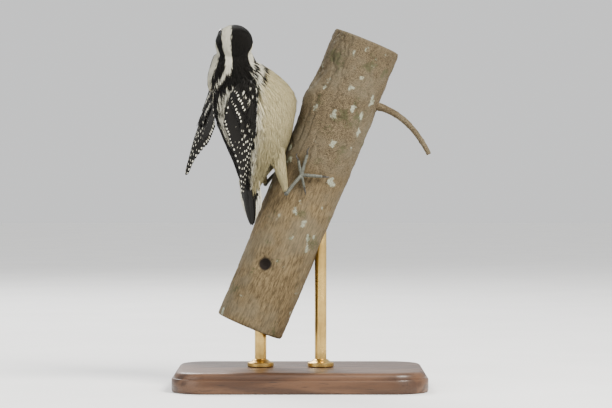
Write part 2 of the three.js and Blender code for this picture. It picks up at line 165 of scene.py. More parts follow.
def flipped_corners(values, groups):
    values, start, flipped = np.asarray(values, float), 0, []
    for group in groups:
        part = values[start:start + group.size].reshape(*group.shape, 2)
        flipped.append(part[:, ::-1].reshape(-1, 2))
        start += group.size
    return np.concatenate(flipped)


def make_mesh(name, points, faces, loop_uvs=None, point_data=None):
    """An object from points in millimetres and a list of face arrays, each with its own corner count.

    loop_uvs holds maps by name, with a value for each corner. point_data holds colours (4) or vectors (3) by
    name, with a value for each point. The faces of a closed mesh that point inwards are turned outwards.
    """
    mesh = bpy.data.meshes.new(name)
    points = np.asarray(points, float) * MM
    groups = [np.asarray(group, np.int32) for group in faces if len(group)]
    if signed_volume(points, groups) < 0:
        loop_uvs = {key: flipped_corners(values, groups) for key, values in (loop_uvs or {}).items()}
        groups = [group[:, ::-1] for group in groups]
    corners = np.concatenate([group.ravel() for group in groups])
    counts = np.concatenate([np.full(len(group), group.shape[1], np.int32) for group in groups])
    mesh.vertices.add(len(points))
    mesh.vertices.foreach_set("co", points.astype(np.float32).ravel())
    mesh.loops.add(len(corners))
    mesh.loops.foreach_set("vertex_index", corners)
    mesh.polygons.add(len(counts))
    starts = np.concatenate([[0], np.cumsum(counts)[:-1]]).astype(np.int32)
    mesh.polygons.foreach_set("loop_start", starts)
    mesh.polygons.foreach_set("loop_total", counts)
    mesh.polygons.foreach_set("use_smooth", np.full(len(counts), True))
    mesh.update(calc_edges=True)
    for key, values in (loop_uvs or {}).items():
        layer = mesh.uv_layers.new(name=key)
        layer.data.foreach_set("uv", np.asarray(values, np.float32).ravel())
    for key, values in (point_data or {}).items():
        add_point_data(mesh, key, values)
    mesh.validate(clean_customdata=False)
    thing = bpy.data.objects.new(name, mesh)
    bpy.context.scene.collection.objects.link(thing)
    return thing


def add_point_data(mesh, key, values):
    values = np.asarray(values, np.float32)
    if values.shape[1] == 4:
        layer = mesh.color_attributes.new(name=key, type="FLOAT_COLOR", domain="POINT")
        layer.data.foreach_set("color", values.ravel())
    else:
        layer = mesh.attributes.new(name=key, type="FLOAT_VECTOR", domain="POINT")
        layer.data.foreach_set("vector", values.ravel())


def opaque(colours):
    """Colours with a fourth channel of 1, as rows."""
    colours = colours.reshape(-1, 3)
    return np.concatenate([colours, np.ones((len(colours), 1))], 1)


def vertex_values(thing, key):
    values = np.zeros(len(thing.data.vertices) * 3, np.float32)
    thing.data.vertices.foreach_get(key, values)
    return values.reshape(-1, 3).astype(float)


def points_of(thing):
    return vertex_values(thing, "co") / MM


def set_points(thing, points):
    thing.data.vertices.foreach_set("co", (np.asarray(points) * MM).astype(np.float32).ravel())
    thing.data.update()


def normals_of(thing):
    return unit(vertex_values(thing, "normal"))


def pick(*things):
    """Selects things and makes the first one active."""
    bpy.ops.object.select_all(action="DESELECT")
    for thing in things:
        thing.select_set(True)
    bpy.context.view_layer.objects.active = things[0]


def join(name, things):
    """One object made of several, in the first one's place."""
    pick(*things)
    bpy.ops.object.join()
    whole = bpy.context.view_layer.objects.active
    whole.name = whole.data.name = name
    return whole


def remeshed(thing, voxel, smoothings):
    """Joins what overlaps in a mesh into one smooth surface."""
    pick(thing)
    remesh = thing.modifiers.new("remesh", "REMESH")
    remesh.mode = "VOXEL"
    remesh.voxel_size = voxel * MM
    relax = thing.modifiers.new("relax", "SMOOTH")
    relax.factor = 0.5
    relax.iterations = smoothings
    for modifier in list(thing.modifiers):
        bpy.ops.object.modifier_apply(modifier=modifier.name)
    thing.data.polygons.foreach_set("use_smooth", np.full(len(thing.data.polygons), True))
    return thing


def crisp(piece, degrees=38):
    """Smooth shading, but with sharp edges where faces meet at more than an angle."""
    pick(piece)
    bpy.ops.object.shade_smooth_by_angle(angle=math.radians(degrees))
    return piece


def copy_of(node, swell):
    """A copy of a CAD node's mesh, swollen along its normals."""
    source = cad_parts[node]
    thing = bpy.data.objects.new(node + "_copy", source.data.copy())
    bpy.context.scene.collection.objects.link(thing)
    thing.data.materials.clear()
    thing.data.uv_layers.active = None
    weld = bmesh.new()
    weld.from_mesh(thing.data)
    bmesh.ops.remove_doubles(weld, verts=weld.verts, dist=1e-6)
    weld.normal_update()
    for vertex in weld.verts:
        vertex.co += vertex.normal * (swell * MM)
    weld.to_mesh(thing.data)
    weld.free()
    return thing


def tree_of(thing):
    """A search tree of a mesh in millimetres, with the smooth normal of each face."""
    points = points_of(thing)
    polygons = [tuple(polygon.vertices) for polygon in thing.data.polygons]
    normals = normals_of(thing)
    smooth = unit(np.array([normals[list(polygon)].mean(0) for polygon in polygons]))
    return BVHTree.FromPolygons([tuple(point) for point in points], polygons), smooth


def nearest(tree, points):
    """The nearest places on a mesh, their smooth normals and their distances."""
    search, smooth = tree
    places, normals, gaps = np.empty_like(points), np.empty_like(points), np.empty(len(points))
    for i, point in enumerate(points):
        place, _, face, gap = search.find_nearest(point)
        places[i], normals[i], gaps[i] = place, smooth[face], gap
    return places, normals, gaps


def smooth_run(values, count):
    """Catmull-Rom points through evenly spaced values."""
    values = np.asarray(values, float)
    padded = np.concatenate([[2 * values[0] - values[1]], values, [2 * values[-1] - values[-2]]])
    t = np.linspace(0, len(values) - 1, count)
    step = np.minimum(t.astype(int), len(values) - 2)
    f = (t - step)[:, None]
    a, b, c, d = (padded[step + k] for k in range(4))
    square, cube = 2 * a - 5 * b + 4 * c - d, 3 * b - a - 3 * c + d
    return 0.5 * (2 * b + (c - a) * f + square * f**2 + cube * f**3)


def ring_grid(rings, around):
    """The point numbers of rings in a row, each point's neighbour, and the quads between the rings."""
    index = np.arange(rings * around).reshape(rings, around)
    nxt = np.roll(index, -1, axis=1)
    return index, nxt, np.stack([index[:-1], nxt[:-1], nxt[1:], index[1:]], -1).reshape(-1, 4)


def closed_sections(count, rings, around):
    """Quads and end fans of many closed bodies, each of rings of points with a point at either end."""
    index, nxt, quads = ring_grid(rings, around)
    first, last = rings * around, rings * around + 1
    fans = np.concatenate([
        np.stack([nxt[0], index[0], np.full(around, first)], -1),
        np.stack([index[-1], nxt[-1], np.full(around, last)], -1),
    ])
    shift = (np.arange(count) * (last + 1))[:, None, None]
    return (quads + shift).reshape(-1, 4), (fans + shift).reshape(-1, 3)


def tube(path, radii, around, flat=1.0, up=None):
    """A closed round limb along points, as points, quads and end fans. flat squashes it along up."""
    path = np.asarray(path, float)
    radii = np.broadcast_to(np.asarray(radii, float), len(path))
    tangent = unit(np.gradient(path, axis=0))
    guide = np.asarray(up if up is not None else [0.31, 0.2, 0.93], float)
    side = unit(np.cross(tangent, guide))
    rise = np.cross(side, tangent)
    angle = full_turn(around)
    across, up = np.cos(angle)[:, None], (np.sin(angle) * flat)[:, None]
    ring = side[:, None] * across + rise[:, None] * up
    points = (path[:, None] + ring * radii[:, None, None]).reshape(-1, 3)
    return np.concatenate([points, [path[0]], [path[-1]]]), *closed_sections(1, len(path), around)


def limb(name, path, radii, around, flat=1.0, up=None):
    """A tube as an object."""
    points, *faces = tube(path, radii, around, flat, up)
    return make_mesh(name, points, faces)


# ---- The perch's shape ----

BURR = {"along": 96, "angle": -150, "reach": 13, "spread": 32, "height": 4.5}
KNOT = {"along": -20, "angle": -107, "reach": 5.5, "spread": 13, "height": -4}
# Slow waves of the bark: height, turns round the branch, and length along it.
BARK_WAVES = ((0.35, 2, 31), (0.3, 3, -17))


def bump(feature, along, angle):
    turn = np.mod(angle - feature["angle"] + 180, 360) - 180
    reach = (turn / feature["spread"]) ** 2 + ((along - feature["along"]) / feature["reach"]) ** 2
    return feature["height"] * np.exp(-reach)


def bark_radius(along, angle):
    radius = PERCH_RADIUS + bump(BURR, along, angle) + bump(KNOT, along, angle)
    for height, turns, length in BARK_WAVES:
        radius = radius + height * np.sin(np.radians(turns * angle) + along / length)
    return radius


def on_bark(along, angle, height):
    """A place beside the bark, from how far up the branch, how far round it and how far out."""
    along, angle = np.broadcast_arrays(np.asarray(along, float), np.asarray(angle, float))
    reach = bark_radius(along, angle) + height
    return placed(PERCH, polar(reach, np.radians(angle), along))


def off_middle(points):
    """From the branch's middle line straight out to places."""
    return points - placed(PERCH, seen_from(PERCH, points) * [0, 0, 1])


# ---- Wings and tail, as in the solids ----

WING = {"lead": 8.5, "secondary": 15, "primary": 8.2, "thick": 3.6, "tip": 0.55, "edge": 0.25, "camber": 3}
WING_POSES = {
    "right": {
        "hand": 1, "shoulder": (103, -15, 19), "middle": (69, -19.5, 22.5), "tip": (24, -6, 14),
        "face_root": (0.25, -0.7, 0.66), "face_tip": (0.1, -0.45, 0.88),
    },
    "left": {
        "hand": -1, "shoulder": (103, 14.5, 19), "middle": (71, 29, 21), "tip": (33, 43.5, 27),
        "face_root": (0.25, 0.45, 0.85), "face_tip": (0.1, -0.45, 0.88),
    },
}
TAIL = {
    "root": 56, "tip": 1.2, "root_up": 9.5, "tip_up": 1.4, "bow": 0.6, "roof": 3.2,
    "half": 10, "tip_half": 2.8, "thick": 1.9, "tip_thick": 0.55, "twist": 18,
}


def trailing_edge(s):
    secondaries = WING["secondary"] * np.sin(np.minimum(1, s / 0.42) * np.pi / 2) ** 0.8
    primaries = WING["primary"] * (1 - ramp(s, 0.72, 1.02))
    return mix(secondaries, primaries, ramp(s, 0.5, 0.69))


def leading_edge(s):
    shoulder = np.sin(np.minimum(1, (s + 0.02) / 0.16) * np.pi / 2) ** 0.7
    return WING["lead"] * shoulder * (1 - 0.99 * ramp(s, 0.55, 1.02))


class WingFrame:
    """Places on a wing by the share s of its length from the shoulder, y across it and a level."""

    def __init__(self, pose):
        shoulder, middle, tip = (np.array(pose[key], float) for key in ("shoulder", "middle", "tip"))
        self.ends = shoulder, 2 * middle - (shoulder + tip) / 2, tip
        self.faces = np.array(pose["face_root"], float), np.array(pose["face_tip"], float)
        self.hand = pose["hand"]
        line = self.line(np.linspace(0, 1, 60))
        self.length = np.linalg.norm(np.diff(line, axis=0), axis=1).sum()

    def line(self, s):
        s = np.asarray(s, float)[..., None]
        a, b, c = self.ends
        return (1 - s) ** 2 * a + 2 * s * (1 - s) * b + s**2 * c

    def axes(self, s):
        s = np.asarray(s, float)[..., None]
        a, b, c = self.ends
        along = unit(2 * (1 - s) * (b - a) + 2 * s * (c - b))
        face = mix(self.faces[0], self.faces[1], s)
        face = square_to(along, face)
        return along, np.cross(along, face) * self.hand, face

    def half_thickness(self, s, across):
        end = np.sqrt(1 - np.maximum(0, 1 - (s + 0.04) / 0.2) ** 2)
        flesh = WING["thick"] * (1 - ramp(s, 0.1, 0.72)) * end
        return (flesh + WING["tip"]) * np.sqrt(1 - 0.9 * across**2) + WING["edge"]

    def across(self, s, y):
        return np.clip(y / np.where(y > 0, trailing_edge(s), leading_edge(s)).clip(0.5), -1, 1)

    def place(self, s, y, level):
        """level runs from -1 on the underside to 1 on the upper side."""
        s, y, level = np.broadcast_arrays(*(np.asarray(v, float) for v in (s, y, level)))
        _, trail, face = self.axes(s)
        across = self.across(s, y)
        height = level * self.half_thickness(s, across) - WING["camber"] * across**2 * (1 - s)
        return self.line(s) + trail * y[..., None] + face * height[..., None]


WING_FRAMES = {name: WingFrame(pose) for name, pose in WING_POSES.items()}


def tail_place(s, across, level):
    """A place on the tail in the bird's frame, from its root (0) to its tip (1)."""
    s, across, level = np.broadcast_arrays(*(np.asarray(v, float) for v in (s, across, level)))
    spread = np.sin(np.minimum(1, (s + 0.25) / 0.85) * np.pi / 2)
    half = TAIL["tip_half"] + (TAIL["half"] - TAIL["tip_half"]) * spread * (1 - ramp(s, 0.62, 1.04))
    roof = TAIL["roof"] * across**2 * spread * (1 - 0.6 * s)
    thick = mix(TAIL["thick"], TAIL["tip_thick"], s) * np.sqrt(1 - 0.6 * across**2)
    middle = mix(TAIL["root_up"], TAIL["tip_up"], s**0.75) + TAIL["bow"] * np.sin(np.pi * s)
    turn = np.radians(TAIL["twist"] * s)
    side, rise = across * half, level * thick - roof
    return np.stack([
        mix(TAIL["root"], TAIL["tip"], s),
        side * np.cos(turn) - rise * np.sin(turn),
        middle + side * np.sin(turn) + rise * np.cos(turn),
    ], -1)


# ---- Legs and feet, as in the solids ----

FOOT = {"along": 45, "angle": 56, "height": 2.2}
HEEL = {"along": 29.5, "angle": 50, "height": 8}
KNEE = {"at": 53, "out": 12.5, "up": -9}
TARSUS = {"radius": 1.25, "heel": 1.56, "palm": 1.69, "bow": 0.8}
TOES = {
    "inner": {"along": 52.5, "angle": 43, "radius": 1.05},
    "middle": {"along": 58, "angle": 52, "radius": 1.15},
    "outer": {"along": 49, "angle": 84, "radius": 1.15},
    "hind": {"along": 38.5, "angle": 66, "radius": 0.95},
}
TOE_LIFT = {"sole": 0.45, "root": 0.7, "arch": 0.5}
CLAW = {"length": 4.6, "radius": 0.75, "tip": 0.16, "rise": 2.1, "drop": 0.2, "tip_height": 0.5}


def under_bird(along, angle, side, height):
    return on_bark(along, 180 + BIRD_ROUND + FEET_ROUND - side * np.asarray(angle, float), height)


def leg_points(side):
    """The knee, the heel and the palm of a foot."""
    knee = placed(BIRD, [KNEE["at"], side * KNEE["out"], KNEE["up"]])
    heel, palm = (under_bird(at["along"], at["angle"], side, at["height"]) for at in (HEEL, FOOT))
    return knee, heel, palm


def tarsus_path(side, count):
    _, heel, palm = leg_points(side)
    above, on = (under_bird(FOOT["along"], FOOT["angle"], side, height) for height in (1, 0))
    return smooth_run([heel, (heel + palm) / 2 + (above - on) * TARSUS["bow"], palm], count)


def leg_path(side, count=40):
    """From the knee over the heel to the palm, which the leg's feathers and skin follow."""
    knee, heel, _ = leg_points(side)
    thigh = mix(knee, heel, np.linspace(0, 1, count)[:, None])
    return np.concatenate([thigh, tarsus_path(side, count // 2)[1:]])


def toe_spread(toe, side, share, height):
    """Places over the bark from the palm (0) to a toe's end (1) and past it, at a height."""
    along, angle = (mix(FOOT[key], toe[key], share) for key in ("along", "angle"))
    return under_bird(along, angle, side, height)


def toe_path(toe, side, share):
    lift = TOE_LIFT["sole"] + TOE_LIFT["root"] * (1 - share) + TOE_LIFT["arch"] * np.sin(np.pi * share)
    return toe_spread(toe, side, share, toe["radius"] + lift)


def claw_path(toe, side, share):
    round_bark = math.radians(toe["angle"] - FOOT["angle"]) * PERCH_RADIUS
    reach = math.hypot(toe["along"] - FOOT["along"], round_bark)
    beyond = 1 + (toe["radius"] * 1.1 + GAP) / reach + share * CLAW["length"] / reach
    drop = (toe["radius"] + CLAW["drop"]) * (1 - share)
    height = CLAW["tip_height"] + drop + CLAW["rise"] * np.sin(np.pi * share * 0.95)
    return toe_spread(toe, side, beyond, height)


# ---- The body's own coordinates: along its middle line from the bill, and round it from the back ----


def spine_stations():
    """Points of the middle line with the direction of the back there, in the bird's frame."""
    to_bird = np.linalg.inv(BIRD) @ HEAD
    forward, up = to_bird[:3, 0], to_bird[:3, 2]
    nape = unit(up - forward)
    back = np.array([0, 0, 1.0])
    return [
        (placed(to_bird, [15, 0, -0.8]), up),
        (placed(to_bird, [7, 0, 0]), up),
        (placed(to_bird, [-1, 0, 0]), unit(up - 0.25 * forward)),
        (placed(to_bird, [-6.5, 0, -5]), nape),
        (np.array([107.5, 4.2, 13.8]), unit(0.75 * -forward + 0.25 * back + 0.1 * up)),
        (np.array([98, 2.6, 10.5]), unit(0.4 * -forward + 0.6 * back)),
        (np.array([87, 0.8, 5.5]), unit(0.12 * -forward + 0.88 * back)),
        (np.array([74, 0, 1]), back),
        (np.array([60, 0, 0]), back),
        (np.array([45, 0, 1]), back),
        (np.array([30, 0, 3]), back),
        (np.array([16, 0, 3]), back),
    ]


def run_along(path):
    """How far along a path each of its points is."""
    return np.concatenate([[0], np.cumsum(np.linalg.norm(np.diff(path, axis=0), axis=1))])


SPINE_STEPS, SPINE_BLUR = 90, 7.0
SPINE_POINTS, SPINE_BACKS = (smooth_run(column, SPINE_STEPS) for column in zip(*spine_stations()))
SPINE_BACKS = unit(SPINE_BACKS)
SPINE_RUN = run_along(SPINE_POINTS)
SPINE_DIRECTIONS = unit(np.gradient(SPINE_POINTS, axis=0))


def on_spine(points):
    """How far along the middle line each place is, its degrees from the back, and the line's direction."""
    local = seen_from(BIRD, points)
    gap = ((local[:, None] - SPINE_POINTS[None]) ** 2).sum(-1)
    weight = np.exp(-(gap - gap.min(1, keepdims=True)) / (2 * SPINE_BLUR**2))
    weight /= weight.sum(1, keepdims=True)
    direction = unit(weight @ SPINE_DIRECTIONS)
    back = square_to(direction, weight @ SPINE_BACKS)
    offset = local - weight @ SPINE_POINTS
    angle = np.degrees(np.arctan2(-dot(offset, np.cross(back, direction)), dot(offset, back)))
    return weight @ SPINE_RUN, angle, pointed(BIRD, direction)


# ---- Markings: the same functions colour the skin and the coat ----

BLACK = np.array([0.014, 0.0125, 0.0105])
WHITE = np.array([0.71, 0.685, 0.575])
BUFF = np.array([0.54, 0.478, 0.3])
# A darker, dingier buff for the lower flank and belly: partly the underparts' own dingy colour, partly painted
# shade of the underside, which light from above does not reach.
DINGY_SHADED_BUFF = np.array([0.362, 0.318, 0.19])
TUFT_BUFF = np.array([0.45, 0.36, 0.22])
DOWN_GREY = np.array([0.09, 0.085, 0.08])
UNDERWING = np.array([0.5, 0.49, 0.46])
TOE_SKIN = np.array([0.105, 0.108, 0.088])
LID_SKIN = np.array([0.026, 0.024, 0.023])
# The leg's feathers take half of that darker buff, and so half of its painted shade.
LEG_BUFF = mix(BUFF, DINGY_SHADED_BUFF, 0.5)

# The edges of the bands round the head and neck, in degrees from the back, at runs along the middle line.
BAND_RUNS = (0, 5, 8, 12, 18, 24, 30, 37, 46, 58)
BANDS = {
    "crown": (26, 34, 36, 38, 37, 34, 32, 36, 44, 50),
    "brow": (26, 34, 62, 66, 68, 66, 54, 44, 44, 50),
    "ear": (92, 98, 102, 106, 106, 98, 84, 64, 52, 50),
    "cheek": (112, 120, 124, 128, 130, 128, 116, 96, 66, 50),
    "moustache": (112, 124, 144, 153, 155, 152, 144, 124, 84, 52),
}


def band(name, run):
    return np.interp(run, BAND_RUNS, BANDS[name])


# Other marks, by run and by degrees from the back: the pale lore, the black mantle, the white stripe down it
# and the buff tufts at the bill.
LORE = {"end": 7.5, "from": 40, "to": 84}
MANTLE_START, TUFT_END = 58, 3.0
MANTLE = (58, 64, 74, 84, 100, 125), (50, 56, 58, 56, 50, 50)
STRIPE = (45, 50, 58, 72, 90), (10, 24, 17, 11, 4)


def markings(run, angle, jitter):
    """The body's colour. jitter moves the edges of the bands a little, feather by feather."""
    # The black reaches 20 degrees further round on the left side than on the right.
    left_black_reach = 20 * (angle > 0)
    angle = np.abs(angle) + jitter * np.interp(run, (20, 45), (2.2, 5))
    run = run + jitter * 0.6
    black = angle < band("crown", run)
    black |= (angle > band("brow", run)) & (angle < band("ear", run))
    black |= (angle > band("cheek", run)) & (angle < band("moustache", run))
    lore = (run < LORE["end"]) & (angle > LORE["from"]) & (angle < LORE["to"])
    mantle = np.interp(run, *MANTLE) + left_black_reach
    black = np.where(run > MANTLE_START, angle < mantle, black & ~lore)
    start, end = STRIPE[0][0], STRIPE[0][-1]
    stripe = (run > start + jitter * 3) & (run < end) & (angle < np.interp(run, *STRIPE))
    black &= ~stripe
    under = ramp(run, 34, 50) * ramp(angle, 52, 78)
    colour = mix(WHITE, BUFF, under[:, None])
    # Darker towards the lower flank and belly: partly dingy feathers, partly painted shade of the underside.
    dinge_and_shade = 0.9 * ramp(run, 66, 104) * ramp(angle, 48, 70)
    colour = mix(colour, DINGY_SHADED_BUFF, dinge_and_shade[:, None])
    colour = np.where(black[:, None], BLACK, colour)
    speckle = stripe & (jitter > 0.35)
    colour = np.where(speckle[:, None], mix(BLACK, WHITE, 0.22), colour)
    tuft = (run < TUFT_END) & ~black
    return np.where(tuft[:, None], TUFT_BUFF, colour)


# The coat's depth at runs along the middle line, and on the nodes that have one depth.
COAT_RUNS = (0, 6, 14, 26, 36, 50, 120)
COAT_DEPTHS = (0.32, 0.42, 0.6, 0.75, 1.15, 1.7, 1.6)
LIMB_DEPTHS = {"leg": 0.8, "wing": 0.7, "tail": 0.6}


def depth_of(kind, run, angle):
    """How deep the coat is over the skin."""
    body = np.interp(run, COAT_RUNS, COAT_DEPTHS)
    body = body + 0.5 * ramp(np.abs(angle), 80, 130) * ramp(run, 40, 60)
    return np.select([kind == name for name in LIMB_DEPTHS], list(LIMB_DEPTHS.values()), body)


# ---- The outer surface that the coat reaches, and the skin inside it ----

# How far the solids are swollen to make one surface, the most of a body's thickness that its skin may sink
# in, and how far the skin's markings are darkened: painted shade in the gaps between its feathers.
SWELL, DEEPEST, SKIN_PAINTED_SHADE = 0.35, 0.42, 0.55
FLESH = ("head", "neck", "trunk", "tail", "wing_left", "wing_right", "leg_left", "leg_right")


def arm(name):
    """The flesh of a wing, from the shoulder to the hand."""
    wing = WING_FRAMES[name]
    s = np.linspace(0.03, 0.6, 16)
    path = wing.place(s, -1.2 - 2.2 * s, 0.0)
    radii = np.interp(s, (0.03, 0.12, 0.35, 0.6), (5.2, 5.6, 4.2, 1.9))
    up = pointed(BIRD, mix(*wing.faces, 0.3))
    return limb("arm_" + name, placed(BIRD, path), radii, 16, flat=0.5, up=up)


def boot(name):
    """The feathered end of a leg, from above the heel to the top of the bare tarsus."""
    knee, heel, _ = leg_points(SIDES[name])
    path = [mix(knee, heel, share) for share in (0.6, 0.7, 0.8, 0.88, 0.94, 0.98)]
    radii = np.array([3.3, 3.0, 2.6, 2.25, 1.95, 1.7]) + SWELL
    radii = np.interp(np.linspace(0, 5, 24), np.arange(6), radii)
    return limb("boot_" + name, smooth_run(path, 24), radii, 20)


def ball(name, centre, radius):
    share = np.linspace(-0.98, 0.98, 12)[:, None]
    return limb(name, centre + radius * share * [0, 0, 1], radius * np.sqrt(1 - share[:, 0] ** 2), 14)


def outer_surface():
    parts = [copy_of(node, SWELL) for node in FLESH] + [boot(name) for name in SIDES]
    parts += [ball("orbit_" + name, place, EYE["radius"] + 0.7 + SWELL) for name, place in EYE_PLACES.items()]
    surface = remeshed(join("outer", parts), voxel=0.8, smoothings=6)
    set_points(surface, points_of(surface) - normals_of(surface) * SWELL)
    return surface


outer = outer_surface()
OUTER = tree_of(outer)
NODE_TREES = {node: tree_of(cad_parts[node]) for node in FLESH}


def regions_of(points):
    """Which node is nearest to each place, by the node's name."""
    gaps = np.stack([nearest(NODE_TREES[node], points)[2] for node in FLESH])
    return np.array(FLESH)[gaps.argmin(0)]


def kind_of(regions):
    return np.array([region.split("_")[0] for region in regions])


def thickness_of(thing, points, normals):
    """How far a mesh reaches inwards from each of its points, or 50 where that is more than 12."""
    search, _ = tree_of(thing)
    reach = np.full(len(points), 50.0)
    for i, (point, normal) in enumerate(zip(points - 0.05 * normals, normals)):
        hit = search.ray_cast(Vector(point), Vector(-normal), 12)
        if hit[0] is not None:
            reach[i] = hit[3]
    return reach


def bare_skin():
    """The body under its feathers, sunk in from the outer surface by the coat's depth."""
    parts = [copy_of(node, SWELL) for node in ("head", "neck", "trunk", "leg_left", "leg_right")]
    parts += [boot(name) for name in SIDES] + [arm(name) for name in WING_FRAMES]
    skin = remeshed(join("skin", parts), voxel=1.0, smoothings=4)
    points, normals = points_of(skin), normals_of(skin)
    run, angle, _ = on_spine(points)
    regions = regions_of(points)
    depth = depth_of(kind_of(regions), run, angle)
    for name, side in SIDES.items():
        _, heel, palm = leg_points(side)
        reach = np.linalg.norm(points - mix(heel, palm, 0.3), axis=1)
        depth = np.where(regions == "leg_" + name, depth * np.clip(reach / 14, 0.3, 1), depth)
    inwards = np.minimum(SWELL + depth, DEEPEST * thickness_of(skin, points, normals))
    set_points(skin, points - normals * inwards[:, None])
    return skin


# ---- Feathers ----

# Round a vane's section, from its left edge over the top and back below: the place across it, and the height
# as a share of its thickness.
SMALL_SECTION = ((-1, 0), (0, 1), (1, 0), (0, -1))
LARGE_SECTION = (
    (-1, 0), (-0.66, 0.6), (-0.33, 0.9), (0, 1.5), (0.33, 0.9), (0.66, 0.6),
    (1, 0), (0.66, -0.6), (0.33, -0.9), (0, -1.6), (-0.33, -0.9), (-0.66, -0.6),
)


def section_maps(rings, around):
    """The unrolled map of one such closed body, corner by corner, for its quads and then its fans."""

    def corners(*pairs):
        return np.stack([np.stack(np.broadcast_arrays(u, v), -1) for u, v in pairs], -2)

    ring, step = np.meshgrid(np.arange(1, rings), np.arange(around), indexing="ij")
    quads = corners((step, ring), (step + 1, ring), (step + 1, ring + 1), (step, ring + 1)).reshape(-1, 4, 2)
    step = np.arange(around)
    low = corners((step + 1, 1), (step, 1), (step + 0.5, 0))
    high = corners((step, rings), (step + 1, rings), (step + 0.5, rings + 1))
    return quads / [around, rings + 1], np.concatenate([low, high]) / [around, rings + 1]


class Vanes:
    """Many feathers of one kind. lines and normals are (feathers, rings, 3); widths are (feathers, rings)."""

    def __init__(self, lines, normals, left, right, section, thick, cup, sweep):
        section = np.array(section, float)
        across, lift = section[:, 0], section[:, 1]
        tangent = unit(np.gradient(lines, axis=1))
        side = unit(np.cross(normals, tangent))
        rise = np.cross(tangent, side)
        reach = np.where(across < 0, left[..., None], right[..., None]) * across
        push = np.abs(reach) * sweep
        height = lift * thick[..., None] - cup * reach**2
        points = lines[:, :, None] + side[:, :, None] * reach[..., None]
        points = points + rise[:, :, None] * height[..., None] + tangent[:, :, None] * push[..., None]
        self.count, self.rings, self.around = points.shape[:3]
        ends = np.stack([lines[:, 0] - tangent[:, 0] * 0.05, lines[:, -1] + tangent[:, -1] * 0.15], 1)
        self.points = np.concatenate([points.reshape(self.count, -1, 3), ends], 1)
        steps = np.linalg.norm(np.diff(lines, axis=1), axis=2)
        run = np.concatenate([np.zeros((self.count, 1)), steps], 1).cumsum(1)
        self.length = run[:, -1]
        barb = np.stack([run[..., None] + push, reach, np.zeros_like(reach)], -1).reshape(self.count, -1, 3)
        tips = np.zeros((self.count, 2, 3))
        tips[:, 1, 0] = self.length
        self.barb = np.concatenate([barb, tips], 1)
        self.barb[..., 2] = np.linspace(0, 1, self.count, endpoint=False)[:, None]
        share = np.linspace(0, 1, self.rings)
        self.share = np.concatenate([np.repeat(share, self.around), [0, 1]])
        self.across = np.concatenate([np.tile(across, self.rings), [0, 0]])

    def faces(self):
        return closed_sections(self.count, self.rings, self.around)

    def own_map(self):
        """The feather's own map, across and along, for every corner of its quads and fans."""
        values = np.stack([self.across / 2 + 0.5, self.share], -1)
        return np.concatenate([values[group.ravel() % len(values)] for group in self.faces()])

    def bake_map(self, places, size):
        """Each feather's unrolled map, as a patch of that size at its own place."""
        low = (places - np.asarray(size) / 2)[:, None, None]
        maps = section_maps(self.rings, self.around)
        return np.concatenate([(low + values[None] * size).reshape(-1, 2) for values in maps])


def make_vanes(name, vanes, colours, places, patch, extra=None):
    """One object of many feathers, with their own maps, bake maps, colours and barbs."""
    data = {"plumage": opaque(colours), "barb": vanes.barb.reshape(-1, 3)}
    for key, values in (extra or {}).items():
        data[key] = np.repeat(values, vanes.points.shape[1], axis=0)
    maps = {"vane": vanes.own_map(), "OFBake": vanes.bake_map(places, patch)}
    return make_mesh(name, vanes.points.reshape(-1, 3), vanes.faces(), maps, data)


# Size of the body feathers by their run along the middle line: gap between roots, length and half width.
SIZE_RUNS = (0, 5, 12, 22, 32, 44, 60, 90, 120)
ROOT_GAPS = (0.44, 0.46, 0.53, 0.61, 0.76, 0.94, 1.05, 1.06, 1.0)
LENGTHS = (1.9, 2.5, 3.8, 5.0, 6.8, 8.6, 9.6, 9.8, 8.4)
HALF_WIDTHS = (0.2, 0.24, 0.3, 0.38, 0.52, 0.7, 0.82, 0.84, 0.78)
KIND_SIZES = {"leg": (0.82, 4.4, 0.5), "wing": (1.1, 5.2, 0.95), "tail": (1.1, 5.0, 1.1)}


def feather_sizes(kind, run, points):
    """The gap between roots, the length and the half width of the feathers that grow at places."""
    values = [np.interp(run, SIZE_RUNS, row) for row in (ROOT_GAPS, LENGTHS, HALF_WIDTHS)]
    for name, sizes in KIND_SIZES.items():
        values = [np.where(kind == name, size, value) for size, value in zip(sizes, values)]
    down = np.min([np.linalg.norm(points - leg_points(side)[1], axis=1) for side in SIDES.values()], axis=0)
    small = np.where(kind == "leg", np.interp(down, (0, 6, 14, 24), (0.5, 0.75, 1.1, 1.7)), 1)
    return [value * small for value in values]


def surface_points(thing, count):
    """Random places on a mesh with their normals, more where the coat's feathers are smaller."""
    points, normals = points_of(thing), normals_of(thing)
    corners = np.array([tuple(face.vertices) for face in thing.data.polygons if len(face.vertices) == 4])
    triangles = np.concatenate([corners[:, :3], corners[:, [0, 2, 3]]])
    a, b, c = (points[triangles[:, k]] for k in range(3))
    area = np.linalg.norm(np.cross(b - a, c - a), axis=1)
    run, _, _ = on_spine((a + b + c) / 3)
    weight = area / np.interp(run, SIZE_RUNS, ROOT_GAPS) ** 2
    chosen = rng.choice(len(triangles), count, p=weight / weight.sum())
    u, v = rng.random((2, count, 1))
    flip = (u + v) > 1
    u, v = np.where(flip, 1 - u, u), np.where(flip, 1 - v, v)
    place = a[chosen] + (b - a)[chosen] * u + (c - a)[chosen] * v
    return place, unit(normals[triangles[chosen]].mean(1))


def spaced(points, gaps):
    """The indices of places that keep their own gap to each other."""
    tree = KDTree(len(points))
    for i, point in enumerate(points):
        tree.insert(point, i)
    tree.balance()
    free = np.ones(len(points), bool)
    chosen = []
    for i, point in enumerate(points):
        if free[i]:
            chosen.append(i)
            for _, j, _ in tree.find_range(point, gaps[i]):
                free[j] = False
    return np.array(chosen)


def closest(points, path):
    """Which point of a path is nearest to each place."""
    return ((points[:, None] - path[None]) ** 2).sum(-1).argmin(1)


